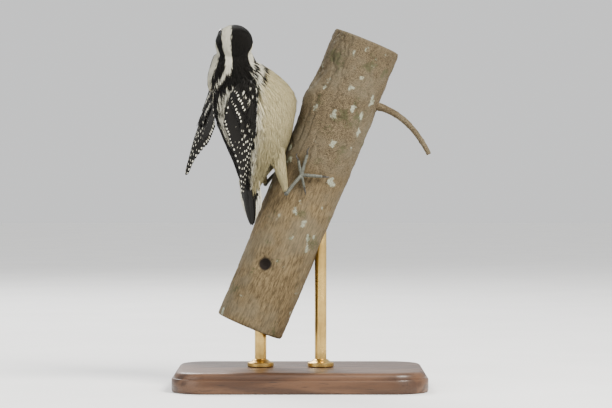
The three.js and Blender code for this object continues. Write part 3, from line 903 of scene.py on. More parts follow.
def wing_coordinates(name, points):
    """How far along a wing places are as a share, how far across it, and how high off its middle."""
    wing = WING_FRAMES[name]
    local = seen_from(BIRD, points)
    shares = np.linspace(0, 1, 80)
    line = wing.line(shares)
    s = shares[closest(local, line)]
    _, trail, face = wing.axes(s)
    offset = local - wing.line(s)
    return s, dot(offset, trail), dot(offset, face)


def on_wings(regions, points):
    """For each wing that places lie on: its name, which places they are and their coordinates on it."""
    for name in SIDES:
        mask = regions == "wing_" + name
        if mask.any():
            yield name, mask, wing_coordinates(name, points[mask])


def lie_of(points, normals, regions):
    """The way that feathers point at places on the surface."""
    _, _, direction = on_spine(points)
    for name, side in SIDES.items():
        mask = regions == "leg_" + name
        if mask.any():
            path = leg_path(side)
            direction[mask] = unit(np.gradient(path, axis=0))[closest(points[mask], path)]
    for name, mask, (s, _, _) in on_wings(regions, points):
        along, trail, _ = WING_FRAMES[name].axes(s)
        direction[mask] = pointed(BIRD, unit(along + 0.22 * trail))
    return square_to(normals, direction)


# A body feather's steps from root to tip, and the step where its colour is read.
GROWTH_STEPS, MIDDLE_STEP = 5, 3


def grown(points, normals, regions, lengths, swirl):
    """Lines that run over the outer surface from their roots, along the lie of the feathers."""
    lines, ups = [points], [normals]
    for _ in range(GROWTH_STEPS):
        direction = lie_of(points, normals, regions)
        direction = unit(direction + np.cross(normals, direction) * swirl[:, None])
        points, normals, _ = nearest(OUTER, points + direction * (lengths / GROWTH_STEPS)[:, None])
        lines.append(points)
        ups.append(normals)
    return np.stack(lines, 1), np.stack(ups, 1)


def vane_outline(share, widest=0.44, start=0.3):
    """A body feather's half width along it: narrow at the root, drawn out to a point at the tip."""
    rise = start + (1 - start) * np.sin(np.clip(share / widest, 0, 1) * np.pi / 2) ** 0.9
    return rise * (1 - (np.clip(share - widest, 0, 1) / (1.003 - widest)) ** 1.8)


def shaded(vanes, colours):
    """Colours for every point of each feather: grey down at the root, then the feather's own colour."""
    down = 0.4 * (1 - ramp(vanes.share, 0.12, 0.36))[None, :, None]
    full = np.repeat(colours[:, None], vanes.points.shape[1], axis=1)
    return mix(full, DOWN_GREY * (0.4 + 0.6 * full.mean(2, keepdims=True)), down)


# The loose barbs of a feather: how many, where they start along it, and their reach as a share of its length.
BARBS = {
    "head": {"count": 8, "start": 0.4, "reach": 0.32, "half": 0.025},
    "body": {"count": 12, "start": 0.32, "reach": 0.32, "half": 0.042},
}


def fringe(vanes, colours, barbs):
    """Loose barbs that stand out past a feather's edges and tip, as thin closed spikes."""
    points = vanes.points[:, :-2].reshape(vanes.count, vanes.rings, vanes.around, 3)
    section = vanes.across[: vanes.around]
    edge_columns = section.argmin(), section.argmax()
    middle = points[:, :, np.abs(section).argmin()]
    pairs = barbs["count"] // 2
    bases, directions = [], []
    for k in range(barbs["count"]):
        at = mix(barbs["start"], 0.97, (k // 2 + 0.5) / pairs)
        ring = min(int(at * (vanes.rings - 1)), vanes.rings - 2)
        share = at * (vanes.rings - 1) - ring
        column = edge_columns[k % 2]
        centre = mix(middle[:, ring], middle[:, ring + 1], share)
        edge = mix(points[:, ring, column], points[:, ring + 1, column], share)
        forward = unit(middle[:, ring + 1] - middle[:, ring])
        spread = 0.62 - 0.42 * at + 0.16 * (rng.random((vanes.count, 1)) - 0.5)
        outwards = unit(edge - centre)
        rise = np.cross(forward, outwards) * (1 if k % 2 else -1)
        directions.append(unit(outwards * spread + forward + rise * 0.03))
        bases.append(mix(centre, edge, 0.35 + 0.4 * rng.random((vanes.count, 1))))
    base, direction = np.stack(bases, 1), np.stack(directions, 1)
    length = barbs["reach"] * (0.65 + 0.7 * rng.random(base.shape[:2]))[..., None]
    length = length * vanes.length[:, None, None]
    outward = unit(pointed(BIRD, np.broadcast_to([0.1, -0.4, 0.9], direction.shape)))
    side = unit(np.cross(direction, outward)) * barbs["half"]
    rise = unit(np.cross(side, direction)) * barbs["half"]
    spikes = np.stack([base - side, base + side, base + rise, base + direction * length], 2)
    index = (np.arange(spikes.shape[0] * spikes.shape[1]) * 4)[:, None, None]
    faces = (np.array([[0, 2, 1], [0, 1, 3], [1, 2, 3], [2, 0, 3]])[None] + index).reshape(-1, 3)
    shade = np.repeat(colours[:, None], spikes.shape[1] * 4, axis=1)
    return spikes.reshape(-1, 3), faces, shade.reshape(-1, 3)


# How far from an eye's centre feathers keep off its opening, for the head's own feathers and for others. Just
# outside its rim, for rim_width degrees, they keep off as far as rim.
EYE_CLEARANCE = {"head": 6.5, "other": 4.6, "rim": 4.3, "rim_width": 6}
# The bill's room in the head's frame: from this x on, and this far to either side and up and down.
BILL_ROOM = (13.8, 3.4, 3.1)
# How near over a place a wing or the tail hides it.
COVER = 2.2
# The longest and the shortest step of a whole feather, as shares of an even one, and its sharpest turn's cosine.
LONG_STEP, SHORT_STEP, SHARP_TURN = 1.45, 0.5, 0.72


def clear_of_face(lines, regions):
    """Whether a feather leaves the eyes' openings and the bill free."""
    free = np.ones(len(lines), bool)
    reach = np.where(regions == "head", EYE_CLEARANCE["head"], EYE_CLEARANCE["other"])[:, None]
    for name, place in EYE_PLACES.items():
        offset = lines - place
        distance = np.linalg.norm(offset, axis=2)
        angle = np.degrees(np.arccos(np.clip(offset @ EYE_AXES[name] / distance, -1, 1)))
        beyond = angle - EYE["opening"]
        free &= ~((distance < reach) & (beyond < 0)).any(1)
        free &= ~((distance < EYE_CLEARANCE["rim"]) & (beyond < EYE_CLEARANCE["rim_width"])).any(1)
        free &= (distance > EYE["radius"] + 0.05).all(1)
    for ends in (lines[:, 0], lines[:, -1]):
        x, y, z = seen_from(HEAD, ends).T
        free &= ~((x > BILL_ROOM[0]) & (np.abs(y) < BILL_ROOM[1]) & (np.abs(z) < BILL_ROOM[2]))
    return free


def under_a_wing(points, normals, regions):
    """Whether a place on the body is hidden under a wing or the tail."""
    hidden = np.zeros(len(points), bool)
    for node in ("wing_left", "wing_right", "tail"):
        search, _ = NODE_TREES[node]
        for i in np.flatnonzero(regions != node):
            hit = search.ray_cast(Vector(points[i]), Vector(normals[i]), COVER)
            hidden[i] |= hit[0] is not None
    return hidden


def kept_roots(points, regions):
    """Whether contour feathers grow at a place, which is not on the quills of a wing or the tail."""
    kept = np.ones(len(points), bool)
    for _, mask, (s, y, _) in on_wings(regions, points):
        kept[mask] = (s < 0.2) | ((s < 0.36) & (y < 3.5)) | ((s < 0.52) & (y < -2.5))
    tail = regions == "tail"
    kept[tail] &= seen_from(BIRD, points[tail])[:, 0] > 42
    return kept


def unbroken(lines, lengths):
    """Whether a feather's line stays on one form, with no jump or sharp turn on its way."""
    steps = np.diff(lines, axis=1)
    sizes = np.linalg.norm(steps, axis=2)
    plain = lengths / steps.shape[1]
    even = (sizes.max(1) < LONG_STEP * plain) & (sizes.min(1) > SHORT_STEP * plain)
    return even & (dot(unit(steps[:, 1:]), unit(steps[:, :-1])).min(1) > SHARP_TURN)


HEAD_PIECES = ("coat_crown", "coat_head_left", "coat_head_right")
# The crown's half width in degrees and the breast's end along the middle line, where the coat's pieces meet.
CROWN_EDGE, BREAST_END = 42, 66
# How many roots are tried, a broken feather's second length as a share of its first, and the width of a coat
# feather's patch in the bake map.
ROOT_TRIES, REGROWN, COAT_PATCH = 170000, 0.4, 0.003


def coat():
    """The body feathers, in pieces by the part of the body that they grow on."""
    points, normals = surface_points(outer, ROOT_TRIES)
    regions = regions_of(points)
    kind = kind_of(regions)
    run, angle, _ = on_spine(points)
    kept = kept_roots(points, regions)
    points, normals, regions, kind, run, angle = (
        v[kept] for v in (points, normals, regions, kind, run, angle))
    gaps, lengths, widths = feather_sizes(kind, run, points)
    chosen = spaced(points, gaps)
    chosen = chosen[~under_a_wing(points[chosen], normals[chosen], regions[chosen])]
    points, normals, regions, kind, run, angle, lengths, widths = (
        v[chosen] for v in (points, normals, regions, kind, run, angle, lengths, widths))

    lengths = lengths * (0.88 + 0.24 * rng.random(len(lengths)))
    widths = widths * (0.9 + 0.2 * rng.random(len(lengths)))
    swirl = np.where(kind == "head", 0.2, 0.3) * (rng.random(len(lengths)) - 0.5)
    lines, ups = grown(points, normals, regions, lengths, swirl)
    broken = ~unbroken(lines, lengths)
    lengths = np.where(broken, REGROWN * lengths, lengths)
    lines[broken], ups[broken] = grown(*(v[broken] for v in (points, normals, regions, lengths, swirl)))
    free = clear_of_face(lines, regions) & unbroken(lines, lengths)
    lines, ups, regions, kind, run, angle, widths = (
        v[free] for v in (lines, ups, regions, kind, run, angle, widths))

    share = np.linspace(0, 1, GROWTH_STEPS + 1)
    depth = depth_of(kind, run, angle)[:, None]
    rise = 0.88 * np.sin(np.clip(share * 1.1, 0, 1) * np.pi / 2) ** 0.7 + 0.12 * share
    lift = depth * (rise * (1 + 0.09 * (rng.random(depth.shape) - 0.5)) - 1) - 0.1
    lines = lines + ups * lift[..., None]
    notch = 1 - 0.1 * (np.arange(len(share)) % 2)
    outline = vane_outline(share) * widths[:, None] * notch
    thick = (0.03 + 0.06 * np.sin(np.pi * share) ** 0.5) * np.clip(widths[:, None] / 1.4, 0.3, 1)
    cup = (0.012 + 0.03 / widths)[:, None, None]
    middle = lines[:, MIDDLE_STEP]
    middle_run, middle_angle, _ = on_spine(middle)
    jitter = rng.random(len(run)) * 2 - 1
    colours = feather_colours(kind, regions, middle, ups[:, MIDDLE_STEP], middle_run, middle_angle, jitter)

    head, trunk = kind == "head", kind == "trunk"
    groups = {
        "coat_crown": head & (np.abs(angle) <= CROWN_EDGE),
        "coat_head_left": head & (angle > CROWN_EDGE),
        "coat_head_right": head & (angle < -CROWN_EDGE),
        "coat_neck": kind == "neck",
        "coat_breast_left": trunk & (angle > 0) & (run <= BREAST_END),
        "coat_breast_right": trunk & (angle <= 0) & (run <= BREAST_END),
        "coat_flank_left": trunk & (angle > 0) & (run > BREAST_END),
        "coat_flank_right": trunk & (angle <= 0) & (run > BREAST_END),
    }
    limbs = ("leg_left", "leg_right", "wing_left", "wing_right")
    groups |= {"coat_" + name: regions == name for name in limbs}
    made = []
    for name, mask in groups.items():
        vanes = Vanes(lines[mask], ups[mask], outline[mask], outline[mask], SMALL_SECTION, thick[mask],
                      cup[mask], sweep=0.55)
        places = coat_places(regions[mask], lines[mask][:, 0], run[mask], angle[mask])
        piece = make_vanes(name, vanes, shaded(vanes, colours[mask]), places, COAT_PATCH)
        spikes, faces, shade = fringe(vanes, colours[mask], BARBS["head" if name in HEAD_PIECES else "body"])
        corners = np.array([[0, 0], [COAT_PATCH / 3, 0], [0, COAT_PATCH / 3]])
        patches = np.repeat(places, len(faces) // len(places), axis=0)[:, None] + corners
        maps = {"vane": np.full((faces.size, 2), 0.5), "OFBake": patches.reshape(-1, 2)}
        data = {"plumage": opaque(shade),
                "barb": np.repeat(rng.random((len(places), 3)), len(spikes) // len(places), axis=0)}
        made.append(join(name, [piece, make_mesh(name + "_barbs", spikes, [faces], maps, data)]))
    return made


def coat_places(regions, roots, run, angle):
    """Each root's place on an unwrap of the body: along it and round it from the belly's middle line."""
    u = np.interp(run, (0, 126), (0.02, 0.98))
    v = 0.5 + angle / 360 * 0.96
    for _, mask, (s, y, height) in on_wings(regions, roots):
        u[mask] = 0.05 + s * 1.4
        v[mask] = np.where(height > 0, 0.27, 0.73) + y * 0.012
    for name, side in SIDES.items():
        mask = regions == "leg_" + name
        knee, heel, _ = leg_points(side)
        axis = unit(heel - knee)
        offset = roots[mask] - knee
        across = unit(np.cross(axis, [0.0, 0.0, 1.0]))
        u[mask] = 0.25 + dot(offset, axis) / 36
        turn = np.arctan2(dot(offset, np.cross(axis, across)), dot(offset, across))
        v[mask] = 0.5 + turn / (2 * np.pi) * 0.9
    return np.clip(np.stack([u, v], -1), 0.01, 0.99)


def feather_colours(kind, regions, places, ups, run, angle, jitter):
    colours = markings(run, angle, jitter)
    colours[kind == "leg"] = LEG_BUFF
    for name, mask, (s, _, _) in on_wings(regions, places):
        above = dot(ups[mask], pointed(BIRD, WING_FRAMES[name].axes(s)[2])) > 0
        spot = (jitter[mask] > 0.8) & (s > 0.12)
        upper = np.where(spot[:, None], WHITE * 0.8, BLACK)
        colours[mask] = np.where(above[:, None], upper, UNDERWING)
    tone = 1 + 0.09 * (rng.random((len(colours), 1)) - 0.5)
    warm = 1 + 0.03 * (rng.random((len(colours), 1)) - 0.5) * np.array([[-1, 0, 1.5]])
    return colours * tone * warm


# ---- Flight feathers ----


# Rows of a wing's large feathers. A row has the number of its feathers, four pairs, a bow and a pattern. Each
# pair is for the row's first feather and its last: roots and tips as (s, y), half widths, and levels at root
# and tip. The primaries' tips follow the wing's edge instead, as far out as PRIMARY_TIPS says.
PRIMARY_TIPS = (0.715, 0.755, 0.80, 0.845, 0.895, 0.94, 0.98, 1.0, 0.975)
QUILL_ROWS = (
    # Primaries, from the inner one to the outermost.
    (9, ((0.36, 0.5), (0.46, -6.6)), None, ((2.3, 4.2), (1.3, 3.2)), ((0.05, 0.5), (-0.55, -0.5)),
     0.4, (6.6, 1)),
    # Secondaries, from the one beside the primaries inwards, and tertials.
    (8, ((0.33, 0.5), (0.13, 2)), ((0.69, 6.9), (0.49, 12.2)), ((2.9, 4.2),) * 2, ((0.1, 0.55), (0.3, 0.8)),
     0.8, (7.2, 1)),
    (3, ((0.13, 3.5), (0.09, 4.5)), ((0.46, 12.1), (0.36, 10.4)), ((3.2, 3.6),) * 2,
     ((0.32, 0.85), (0.4, 0.92)), 0.9, (8, 1)),
    # Primary coverts and alula.
    (7, ((0.3, -0.5), (0.38, -6.4)), ((0.54, 1), (0.56, -6)), ((1.4, 2),) * 2, ((0.3, 0.82), (0.2, 0.5)),
     0.3, (60, 0.5)),
    (3, ((0.22, -4), (0.24, -5.3)), ((0.4, -4.4), (0.45, -7)), ((1.3, 1.9),) * 2, ((0.6, 0.95),) * 2,
     0.2, (60, 0)),
    # Greater coverts, then median and lesser ones.
    (9, ((0.26, -1.5), (0.08, 1)), ((0.455, 1.6), (0.26, 9.4)), ((2, 2.5),) * 2, ((0.45, 0.93),) * 2,
     0.5, (60, 1)),
    (8, ((0.22, -3.2), (0.06, -0.5)), ((0.36, -0.6), (0.18, 7)), ((2, 2.3),) * 2, ((0.6, 1),) * 2,
     0.4, (60, 1)),
)


def wing_quills():
    quills = []
    for count, roots, tips, widths, levels, bow, pattern in QUILL_ROWS:
        for k, t in enumerate(np.linspace(0, 1, count)):
            root, width, level = (mix(*np.array(ends, float), t) for ends in (roots, widths, levels))
            if tips:
                tip = mix(*np.array(tips, float), t)
            else:
                reach = PRIMARY_TIPS[k]
                tip = reach, mix(trailing_edge(reach) * 0.66, -leading_edge(reach) * 0.7 - 0.35, t)
            quills.append({"root": root, "tip": tip, "bow": bow, "widths": width, "levels": level,
                           "pattern": pattern})
    return quills


QUILL_RINGS = 30


def quill_vanes(quills, place, thick):
    """Large feathers from their roots and tips in a wing's or the tail's own coordinates.

    A feather's pattern is the gap between its spots and their strength, and from 2 up a tail feather's share
    of white. The second result is each feather's length with its pattern.
    """
    share = np.linspace(0, 1, QUILL_RINGS)
    lines, lifted, left, right = [], [], [], []
    for quill in quills:
        (s0, y0), (s1, y1) = quill["root"], quill["tip"]
        s = mix(s0, s1, share)
        y = mix(y0, y1, share) - quill["bow"] * np.sin(np.pi * share)
        level = mix(*quill["levels"], ramp(share, 0, 0.85))
        lines.append(place(s, y, level))
        lifted.append(place(s, y, level + 0.5))
        shape = (0.25 + 0.75 * ramp(share, 0, 0.3)) * (1 - quill.get("taper", 0.35) * share)
        point = quill.get("point", 0.9)
        beyond = np.clip(share - point + 0.001, 0, 1) / (1.002 - point)
        shape = shape * np.sqrt(np.clip(1 - beyond**2.2, 0, 1))
        left.append(shape * quill["widths"][0])
        right.append(shape * quill["widths"][1])
    lines, lifted = placed(BIRD, np.array(lines)), placed(BIRD, np.array(lifted))
    vanes = Vanes(lines, unit(lifted - lines), np.array(left), np.array(right), LARGE_SECTION,
                  np.broadcast_to(thick, lines.shape[:2]), cup=0.012, sweep=0.5)
    patterns = np.array([quill["pattern"] for quill in quills], float)
    return vanes, np.column_stack([vanes.length, patterns])


def flight_cells(count):
    """A grid of cells for the feathers' unrolled maps, as middles and one size."""
    columns = math.ceil(math.sqrt(count))
    rows = math.ceil(count / columns)
    index = np.arange(count)
    places = np.stack([(index % columns + 0.5) / columns, (index // columns + 0.5) / rows], -1)
    return places, (0.94 / columns, 0.94 / rows)


def make_flight(name, vanes, patterns):
    places, patch = flight_cells(vanes.count)
    tone = 1 + 0.12 * (rng.random((vanes.count, 1, 1)) - 0.5)
    colours = np.broadcast_to(BLACK, vanes.points.shape) * tone
    return make_vanes(name, vanes, colours, places, patch, {"pattern": patterns})


def wing_feathers(name):
    wing = WING_FRAMES[name]
    quills = wing_quills()
    if wing.hand > 0:
        quills = [{**quill, "widths": quill["widths"][::-1]} for quill in quills]
    return make_flight("feathers_wing_" + name, *quill_vanes(quills, wing.place, 0.11))


def tail_feathers():
    """Five pairs, the middle pair on top; each feather is stiff, narrow and pointed."""
    quills = []
    for pair, (short, white) in enumerate(((0, 0), (0.015, 0), (0.045, 0.35), (0.09, 1), (0.17, 1))):
        t = pair / 4
        for side in (1, -1):
            level = mix(0.85, -0.75, t) - (0.06 if side < 0 else 0)
            quills.append({
                "root": (0.05, side * (0.06 + 0.5 * t)), "tip": (1 - short, side * (0.22 + 0.62 * t)),
                "widths": (3.7, 3.7), "levels": (level, level), "bow": 0, "taper": 0.42, "point": 0.76,
                "pattern": (6.5, 2.0 + white),
            })
    return make_flight("feathers_tail", *quill_vanes(quills, tail_place, 0.14))


# ---- Bare parts: bill, eyes, lids, toes and claws ----

BILL = {"start": 14.6, "gape": -0.2, "half": 2.9, "tip_half": 0.55, "tip_height": 0.3}
BILL_HALVES = {
    "upper": {"rise": 1, "length": 17, "height": 2.7},
    "lower": {"rise": -1, "length": 16.3, "height": 2.3},
}


def hump(x, centre, width):
    """1 at the centre, falling off smoothly beside it."""
    return np.exp(-(((x - centre) / width) ** 2))


def bill_half(name):
    """One half of the bill: a ridged taper to a chisel tip, flat where the halves meet."""
    half = BILL_HALVES[name]
    rings, around = 44, 40
    s = np.linspace(0, 1, rings)[:, None]
    turn = full_turn(around)[None]
    taper = 1 - s**1.25
    wide = mix(BILL["tip_half"], BILL["half"], taper) * (1 - 0.06 * hump(s, 0.16, 0.1))
    tall = mix(BILL["tip_height"], half["height"], taper)
    ridge = 0.93 + 0.07 * hump(turn, np.pi / 2, 0.3)
    groove = 1 - 0.07 * hump(s, 0.22, 0.2) * hump(np.abs(turn - np.pi / 2), 0.75, 0.17)
    x = BILL["start"] - 0.5 + s * (half["length"] + 0.5) + 0 * turn
    y = wide * np.cos(turn) * groove
    z = np.where(turn < np.pi, tall * np.sin(turn) * ridge * groove, 0) + 0.07
    points = np.stack([x, y, BILL["gape"] + half["rise"] * z], -1)
    ends = points[[0, -1]].mean(1)
    points = placed(HEAD, np.concatenate([points.reshape(-1, 3), ends]))
    return make_mesh("bill_" + name + "_horn", points, closed_sections(1, rings, around))


def eye_ball(name):
    """The eyeball with a slight cornea. Its point data holds the angle from its axis in degrees."""
    axis = EYE_AXES[name]
    rings, around = 38, 56
    angle = np.linspace(0, np.pi, rings + 2)[1:-1, None]
    turn = full_turn(around)[None]
    cornea = EYE["radius"] - 0.06 + 0.06 * hump(angle, 0, 0.6)
    local = polar(cornea * np.sin(angle), turn, cornea * np.cos(angle)).reshape(-1, 3)
    points = np.concatenate([local, [[0, 0, EYE["radius"]], [0, 0, 0.06 - EYE["radius"]]]])
    degrees = np.degrees(np.arccos(np.clip(points[:, 2] / np.linalg.norm(points, axis=1), -1, 1)))
    data = {"iris": np.stack([degrees, np.arctan2(points[:, 1], points[:, 0]), degrees * 0], -1)}
    points = placed(basis(EYE_PLACES[name], np.cross(axis, [0.1, 0.3, 0.9]), axis), points)
    return make_mesh("eyeball_" + name, points, closed_sections(1, rings, around), point_data=data)


# Rings of the lids from the rim outwards: degrees beyond the opening, the ring's own radius, and its beads'
# height as a share of that.
LID_RINGS = ((0, 0.11, 0.14), (4, 0.14, 0.08), (9, 0.17, 0), (15, 0.2, 0), (22, 0.22, 0), (30, 0.24, 0))


def lids(name):
    """Both lids: overlapping rings of bare skin from the eye's opening out under the feathers."""
    count, around = 96, 10
    turn = full_turn(count)
    axis = EYE_AXES[name]
    frame_of_eye = basis(EYE_PLACES[name], np.cross(axis, pointed(HEAD, [0, 0, 1.0])), axis)
    index = np.arange(count * around).reshape(count, around)
    beside, after = np.roll(index, -1, 1), np.roll(index, -1, 0)
    quads = np.stack([index, beside, np.roll(beside, -1, 0), after], -1)
    parts = []
    for k, (beyond, radius, bead) in enumerate(LID_RINGS):
        opening = np.radians(EYE["opening"] + beyond - 2.0 * np.sin(turn) ** 2)
        path = np.stack([np.cos(turn) * np.sin(opening), np.sin(turn) * np.sin(opening), np.cos(opening)], -1)
        path = placed(frame_of_eye, path * (EYE["radius"] + 0.04))
        # The path runs two points on past its start, so that its closing ring faces the right way.
        points, _, _ = tube(np.concatenate([path, path[:2]]), radius, around, up=axis)
        rings = points[: (count + 1) * around].reshape(-1, around, 3)
        rings = np.concatenate([rings[count:], rings[1:count]])
        swell = 1 + bead * np.sin(turn * 24)[:, None, None]
        rings = path[:, None] + (rings - path[:, None]) * swell
        parts.append(make_mesh(f"lid_{name}_{k}", rings.reshape(-1, 3), [quads.reshape(-1, 4)]))
    return parts


# The length of one cross scale on a toe.
SCUTE = 1.05


def foot_skin(name, side):
    """The bare lower leg and toes, with cross scales over the top of each."""
    tarsus = tarsus_path(side, 16)
    share = np.linspace(0, 1, 18)
    routes = [(tarsus, np.interp(np.linspace(0, 1, 16), (0, 0.5, 1), (1.4, 1.15, 1.35)))]
    for toe in TOES.values():
        joints = 1 + 0.07 * np.cos(share * 3 * 2 * np.pi)
        radii = mix(toe["radius"] * 1.12, toe["radius"] * 0.88, share) * joints
        routes.append((toe_path(toe, side, share), radii))
    parts = [limb(f"toe_{name}_{k}", path, radii, 14) for k, (path, radii) in enumerate(routes)]
    parts += [ball(f"{key}_{name}", tarsus[end], TARSUS[key]) for key, end in (("heel", 0), ("palm", -1))]
    parts += [ball("toe_end_" + name, path[-1], radii[-1] * 1.06) for path, radii in routes[1:]]
    foot = remeshed(join("foot_skin_" + name, parts), voxel=0.16, smoothings=3)
    points, normals = points_of(foot), normals_of(foot)
    best, run = np.full(len(points), np.inf), np.zeros(len(points))
    for path, _ in routes:
        fine = smooth_run(path, 60)
        gap = np.linalg.norm(points[:, None] - fine[None], axis=2)
        nearer = gap.min(1) < best
        best = np.where(nearer, gap.min(1), best)
        run = np.where(nearer, run_along(fine)[gap.argmin(1)], run)
    away = dot(normals, unit(off_middle(points)))
    wave = np.abs(np.mod(run / SCUTE, 1) - 0.5) * 2
    top = ramp(away, -0.15, 0.35)
    pebble = lattice_noise(points, 0.55, 14)
    lift = 0.08 * (1 - wave**6) * top - 0.02 + 0.07 * pebble * (1 - top)
    set_points(foot, points + normals * lift[:, None])
    add_point_data(foot.data, "scute", np.stack([run, away, np.ones(len(run))], -1))
    return foot


def claws():
    parts = []
    share = np.linspace(-0.06, 1, 22)
    radii = mix(CLAW["tip"], CLAW["radius"] * 1.03, 1 - np.clip(share, 0, 1) ** 1.6)
    for side_name, side in SIDES.items():
        for name, toe in TOES.items():
            path = claw_path(toe, side, share)
            name = f"claw_{side_name}_{name}_horn"
            parts.append(limb(name, path, radii * 0.82, 16, flat=1.4, up=off_middle(path[4])))
    return join("claws", parts)


def nasal_tufts():
    """Fine bristles from forehead, lores and chin, forwards over the bill's base and the nostrils."""
    count, above, rings = 900, 600, 6
    chin = np.arange(count) >= above
    turn = np.clip(rng.normal(0, 46, count), -112, 112)
    turn = np.radians(np.where(chin, (0.62 * turn) % 360 - 180, turn))
    back = rng.random(count)
    radius = (3.0 + 0.25 * rng.random(count) + 0.95 * back) * np.where(chin, 1 + 0.3 * back, 1)
    root = np.stack([13.9 - 2.3 * back, radius * np.sin(turn) * 1.1, radius * np.cos(turn) * 0.95], -1)
    nostril = hump(np.abs(np.degrees(turn)), 38, 26)
    length = (1.5 + 2.9 * nostril) * (0.75 + 0.45 * rng.random(count)) + 0.8 * back
    share = np.linspace(0, 1, rings)[None, :, None]
    out = np.stack([np.zeros(count), np.sin(turn), np.cos(turn)], -1)
    sway = np.stack([np.zeros(count), np.cos(turn), -np.sin(turn)], -1) * rng.normal(0, 0.28, (count, 1))
    lines = root[:, None] + np.array([1, 0, 0]) * length[:, None, None] * share + sway[:, None] * share**2
    arch = 0.3 * np.sin(np.pi * share * 0.7) - (0.35 + 0.7 * back[:, None, None]) * share
    lines = lines + out[:, None] * arch
    ups = np.broadcast_to(out[:, None], lines.shape)
    outline = np.broadcast_to(0.13 * (1 - share[0, :, 0] ** 1.5) + 0.012, (count, rings))
    vanes = Vanes(placed(HEAD, lines), pointed(HEAD, ups), outline, outline, SMALL_SECTION,
                  np.full((count, rings), 0.04), cup=0.2, sweep=0.4)
    shade = mix(TUFT_BUFF, WHITE, np.where(chin, 0.85, 0.75 * back)[:, None])
    shade = shade * (0.8 + 0.4 * rng.random((count, 1)))
    colours = np.repeat(shade[:, None], vanes.points.shape[1], axis=1)
    places = np.stack([0.02 + 0.02 * rng.random(count), 0.5 + turn / (2 * np.pi) * 0.96], -1)
    return make_vanes("coat_nasal_tufts", vanes, colours, places, COAT_PATCH)


# ---- Perch and stand ----


def lattice_noise(points, scale, seed, stretch=(1, 1, 1)):
    """Smooth noise from -1 to 1 at places, with features of about the scale in millimetres."""
    q = np.asarray(points, float) / (np.asarray(stretch, float) * scale)
    cell = np.floor(q).astype(np.int64)
    f = q - cell
    f = f * f * (3 - 2 * f)
    total = np.zeros(len(q))
    for corner in np.ndindex(2, 2, 2):
        key = (cell + corner) @ np.array([73856093, 19349663, 83492791]) + seed * 2654435761
        key = (key ^ (key >> 13)) * 1274126177 & 0xFFFFFFFF
        key = (key ^ (key >> 16)) & 0xFFFF
        weight = np.prod(np.where(np.array(corner) == 1, f, 1 - f), axis=1)
        total += weight * (key / 32767.5 - 1)
    return total


def bark_height(local):
    """The bark's relief over its plain form, never much above it, in the perch's frame."""
    along = local[:, 2]
    rough = mix(0.35, 1.0, ramp(along, 20, 90))
    plates = lattice_noise(local, 5.5, 1, (1, 1, 3.4)) + 0.35 * lattice_noise(local, 2.2, 2, (1, 1, 2))
    cracks = -1.1 * hump(np.abs(plates), 0, 0.11)
    flakes = lattice_noise(local, 4.2, 3, (1, 1, 1.6)) + 0.4 * lattice_noise(local, 1.8, 4)
    flakes = np.round(flakes * 2.4) / 2.4
    grain = 0.10 * lattice_noise(local, 0.9, 5, (1, 1, 3)) + 0.12 * lattice_noise(local, 2.4, 6, (1, 1, 4))
    return rough * (cracks * 0.75 + 0.42 * flakes) + grain - 0.38


# The rings of a cut end as shares of its radius, and the share where its bare wood starts.
END_RINGS, WOOD_EDGE = (0.965, 0.93, 0.8, 0.65, 0.5, 0.35, 0.2, 0.08), 0.93


def perch_mesh():
    """The branch: its bark as a grid of rings, and a cut end closed by smaller rings at either end."""
    rows, around = 380, 236
    along = np.linspace(-PERCH_BELOW, PERCH_ABOVE, rows)
    angle = np.linspace(-180, 180, around, endpoint=False)
    along, angle = (v.ravel() for v in np.meshgrid(along, angle, indexing="ij"))
    radius = bark_radius(along, angle)
    turn = np.radians(angle)
    local = polar(radius, turn, along)
    end = np.minimum(along + PERCH_BELOW, PERCH_ABOVE - along)
    relief = np.minimum(bark_height(local), 0.3) - 0.7 * np.exp(-end / 0.8)
    local = local + polar(1, turn, 0) * relief[:, None]
    index, _, walls = ring_grid(rows, around)
    points, quads, fans, total = [local], [walls], [], len(local)
    for row, sign in ((0, -1), (rows - 1, 1)):
        previous = index[row]
        rim = local[previous]
        for share in END_RINGS:
            new = rim * [share, share, 1]
            flat = new * [1, 1, 0]
            ripple = 0.12 * lattice_noise(flat, 3.0, 9) + 0.05 * lattice_noise(flat, 0.9, 10)
            new[:, 2] += sign * ((ripple - 0.5) if share <= WOOD_EDGE else -0.15)
            current = np.arange(total, total + around)
            quad = np.stack([previous, np.roll(previous, -1), np.roll(current, -1), current], -1)
            quads.append(quad[:, ::sign])
            points.append(new)
            previous, total = current, total + around
        fan = np.stack([previous, np.roll(previous, -1), np.full(around, total)], -1)
        fans.append(fan[:, ::sign])
        points.append(points[-1].mean(0, keepdims=True))
        total += 1
    points = np.concatenate(points)
    on_end = np.arange(total) >= len(local)
    wood = on_end & (np.hypot(points[:, 0], points[:, 1]) < 0.94 * PERCH_RADIUS)
    data = {"perch": points, "cut": np.stack([wood, on_end, on_end], -1)}
    return make_mesh("perch_bark", placed(PERCH, points), [np.concatenate(quads), np.concatenate(fans)],
                     point_data=data)


TWIG = {
    "along": 108, "angle": -8, "radius": 2.6, "tip_radius": 1.7,
    "length": 44, "back": 4, "rise": 5, "droop": 22, "sunk": 2,
}


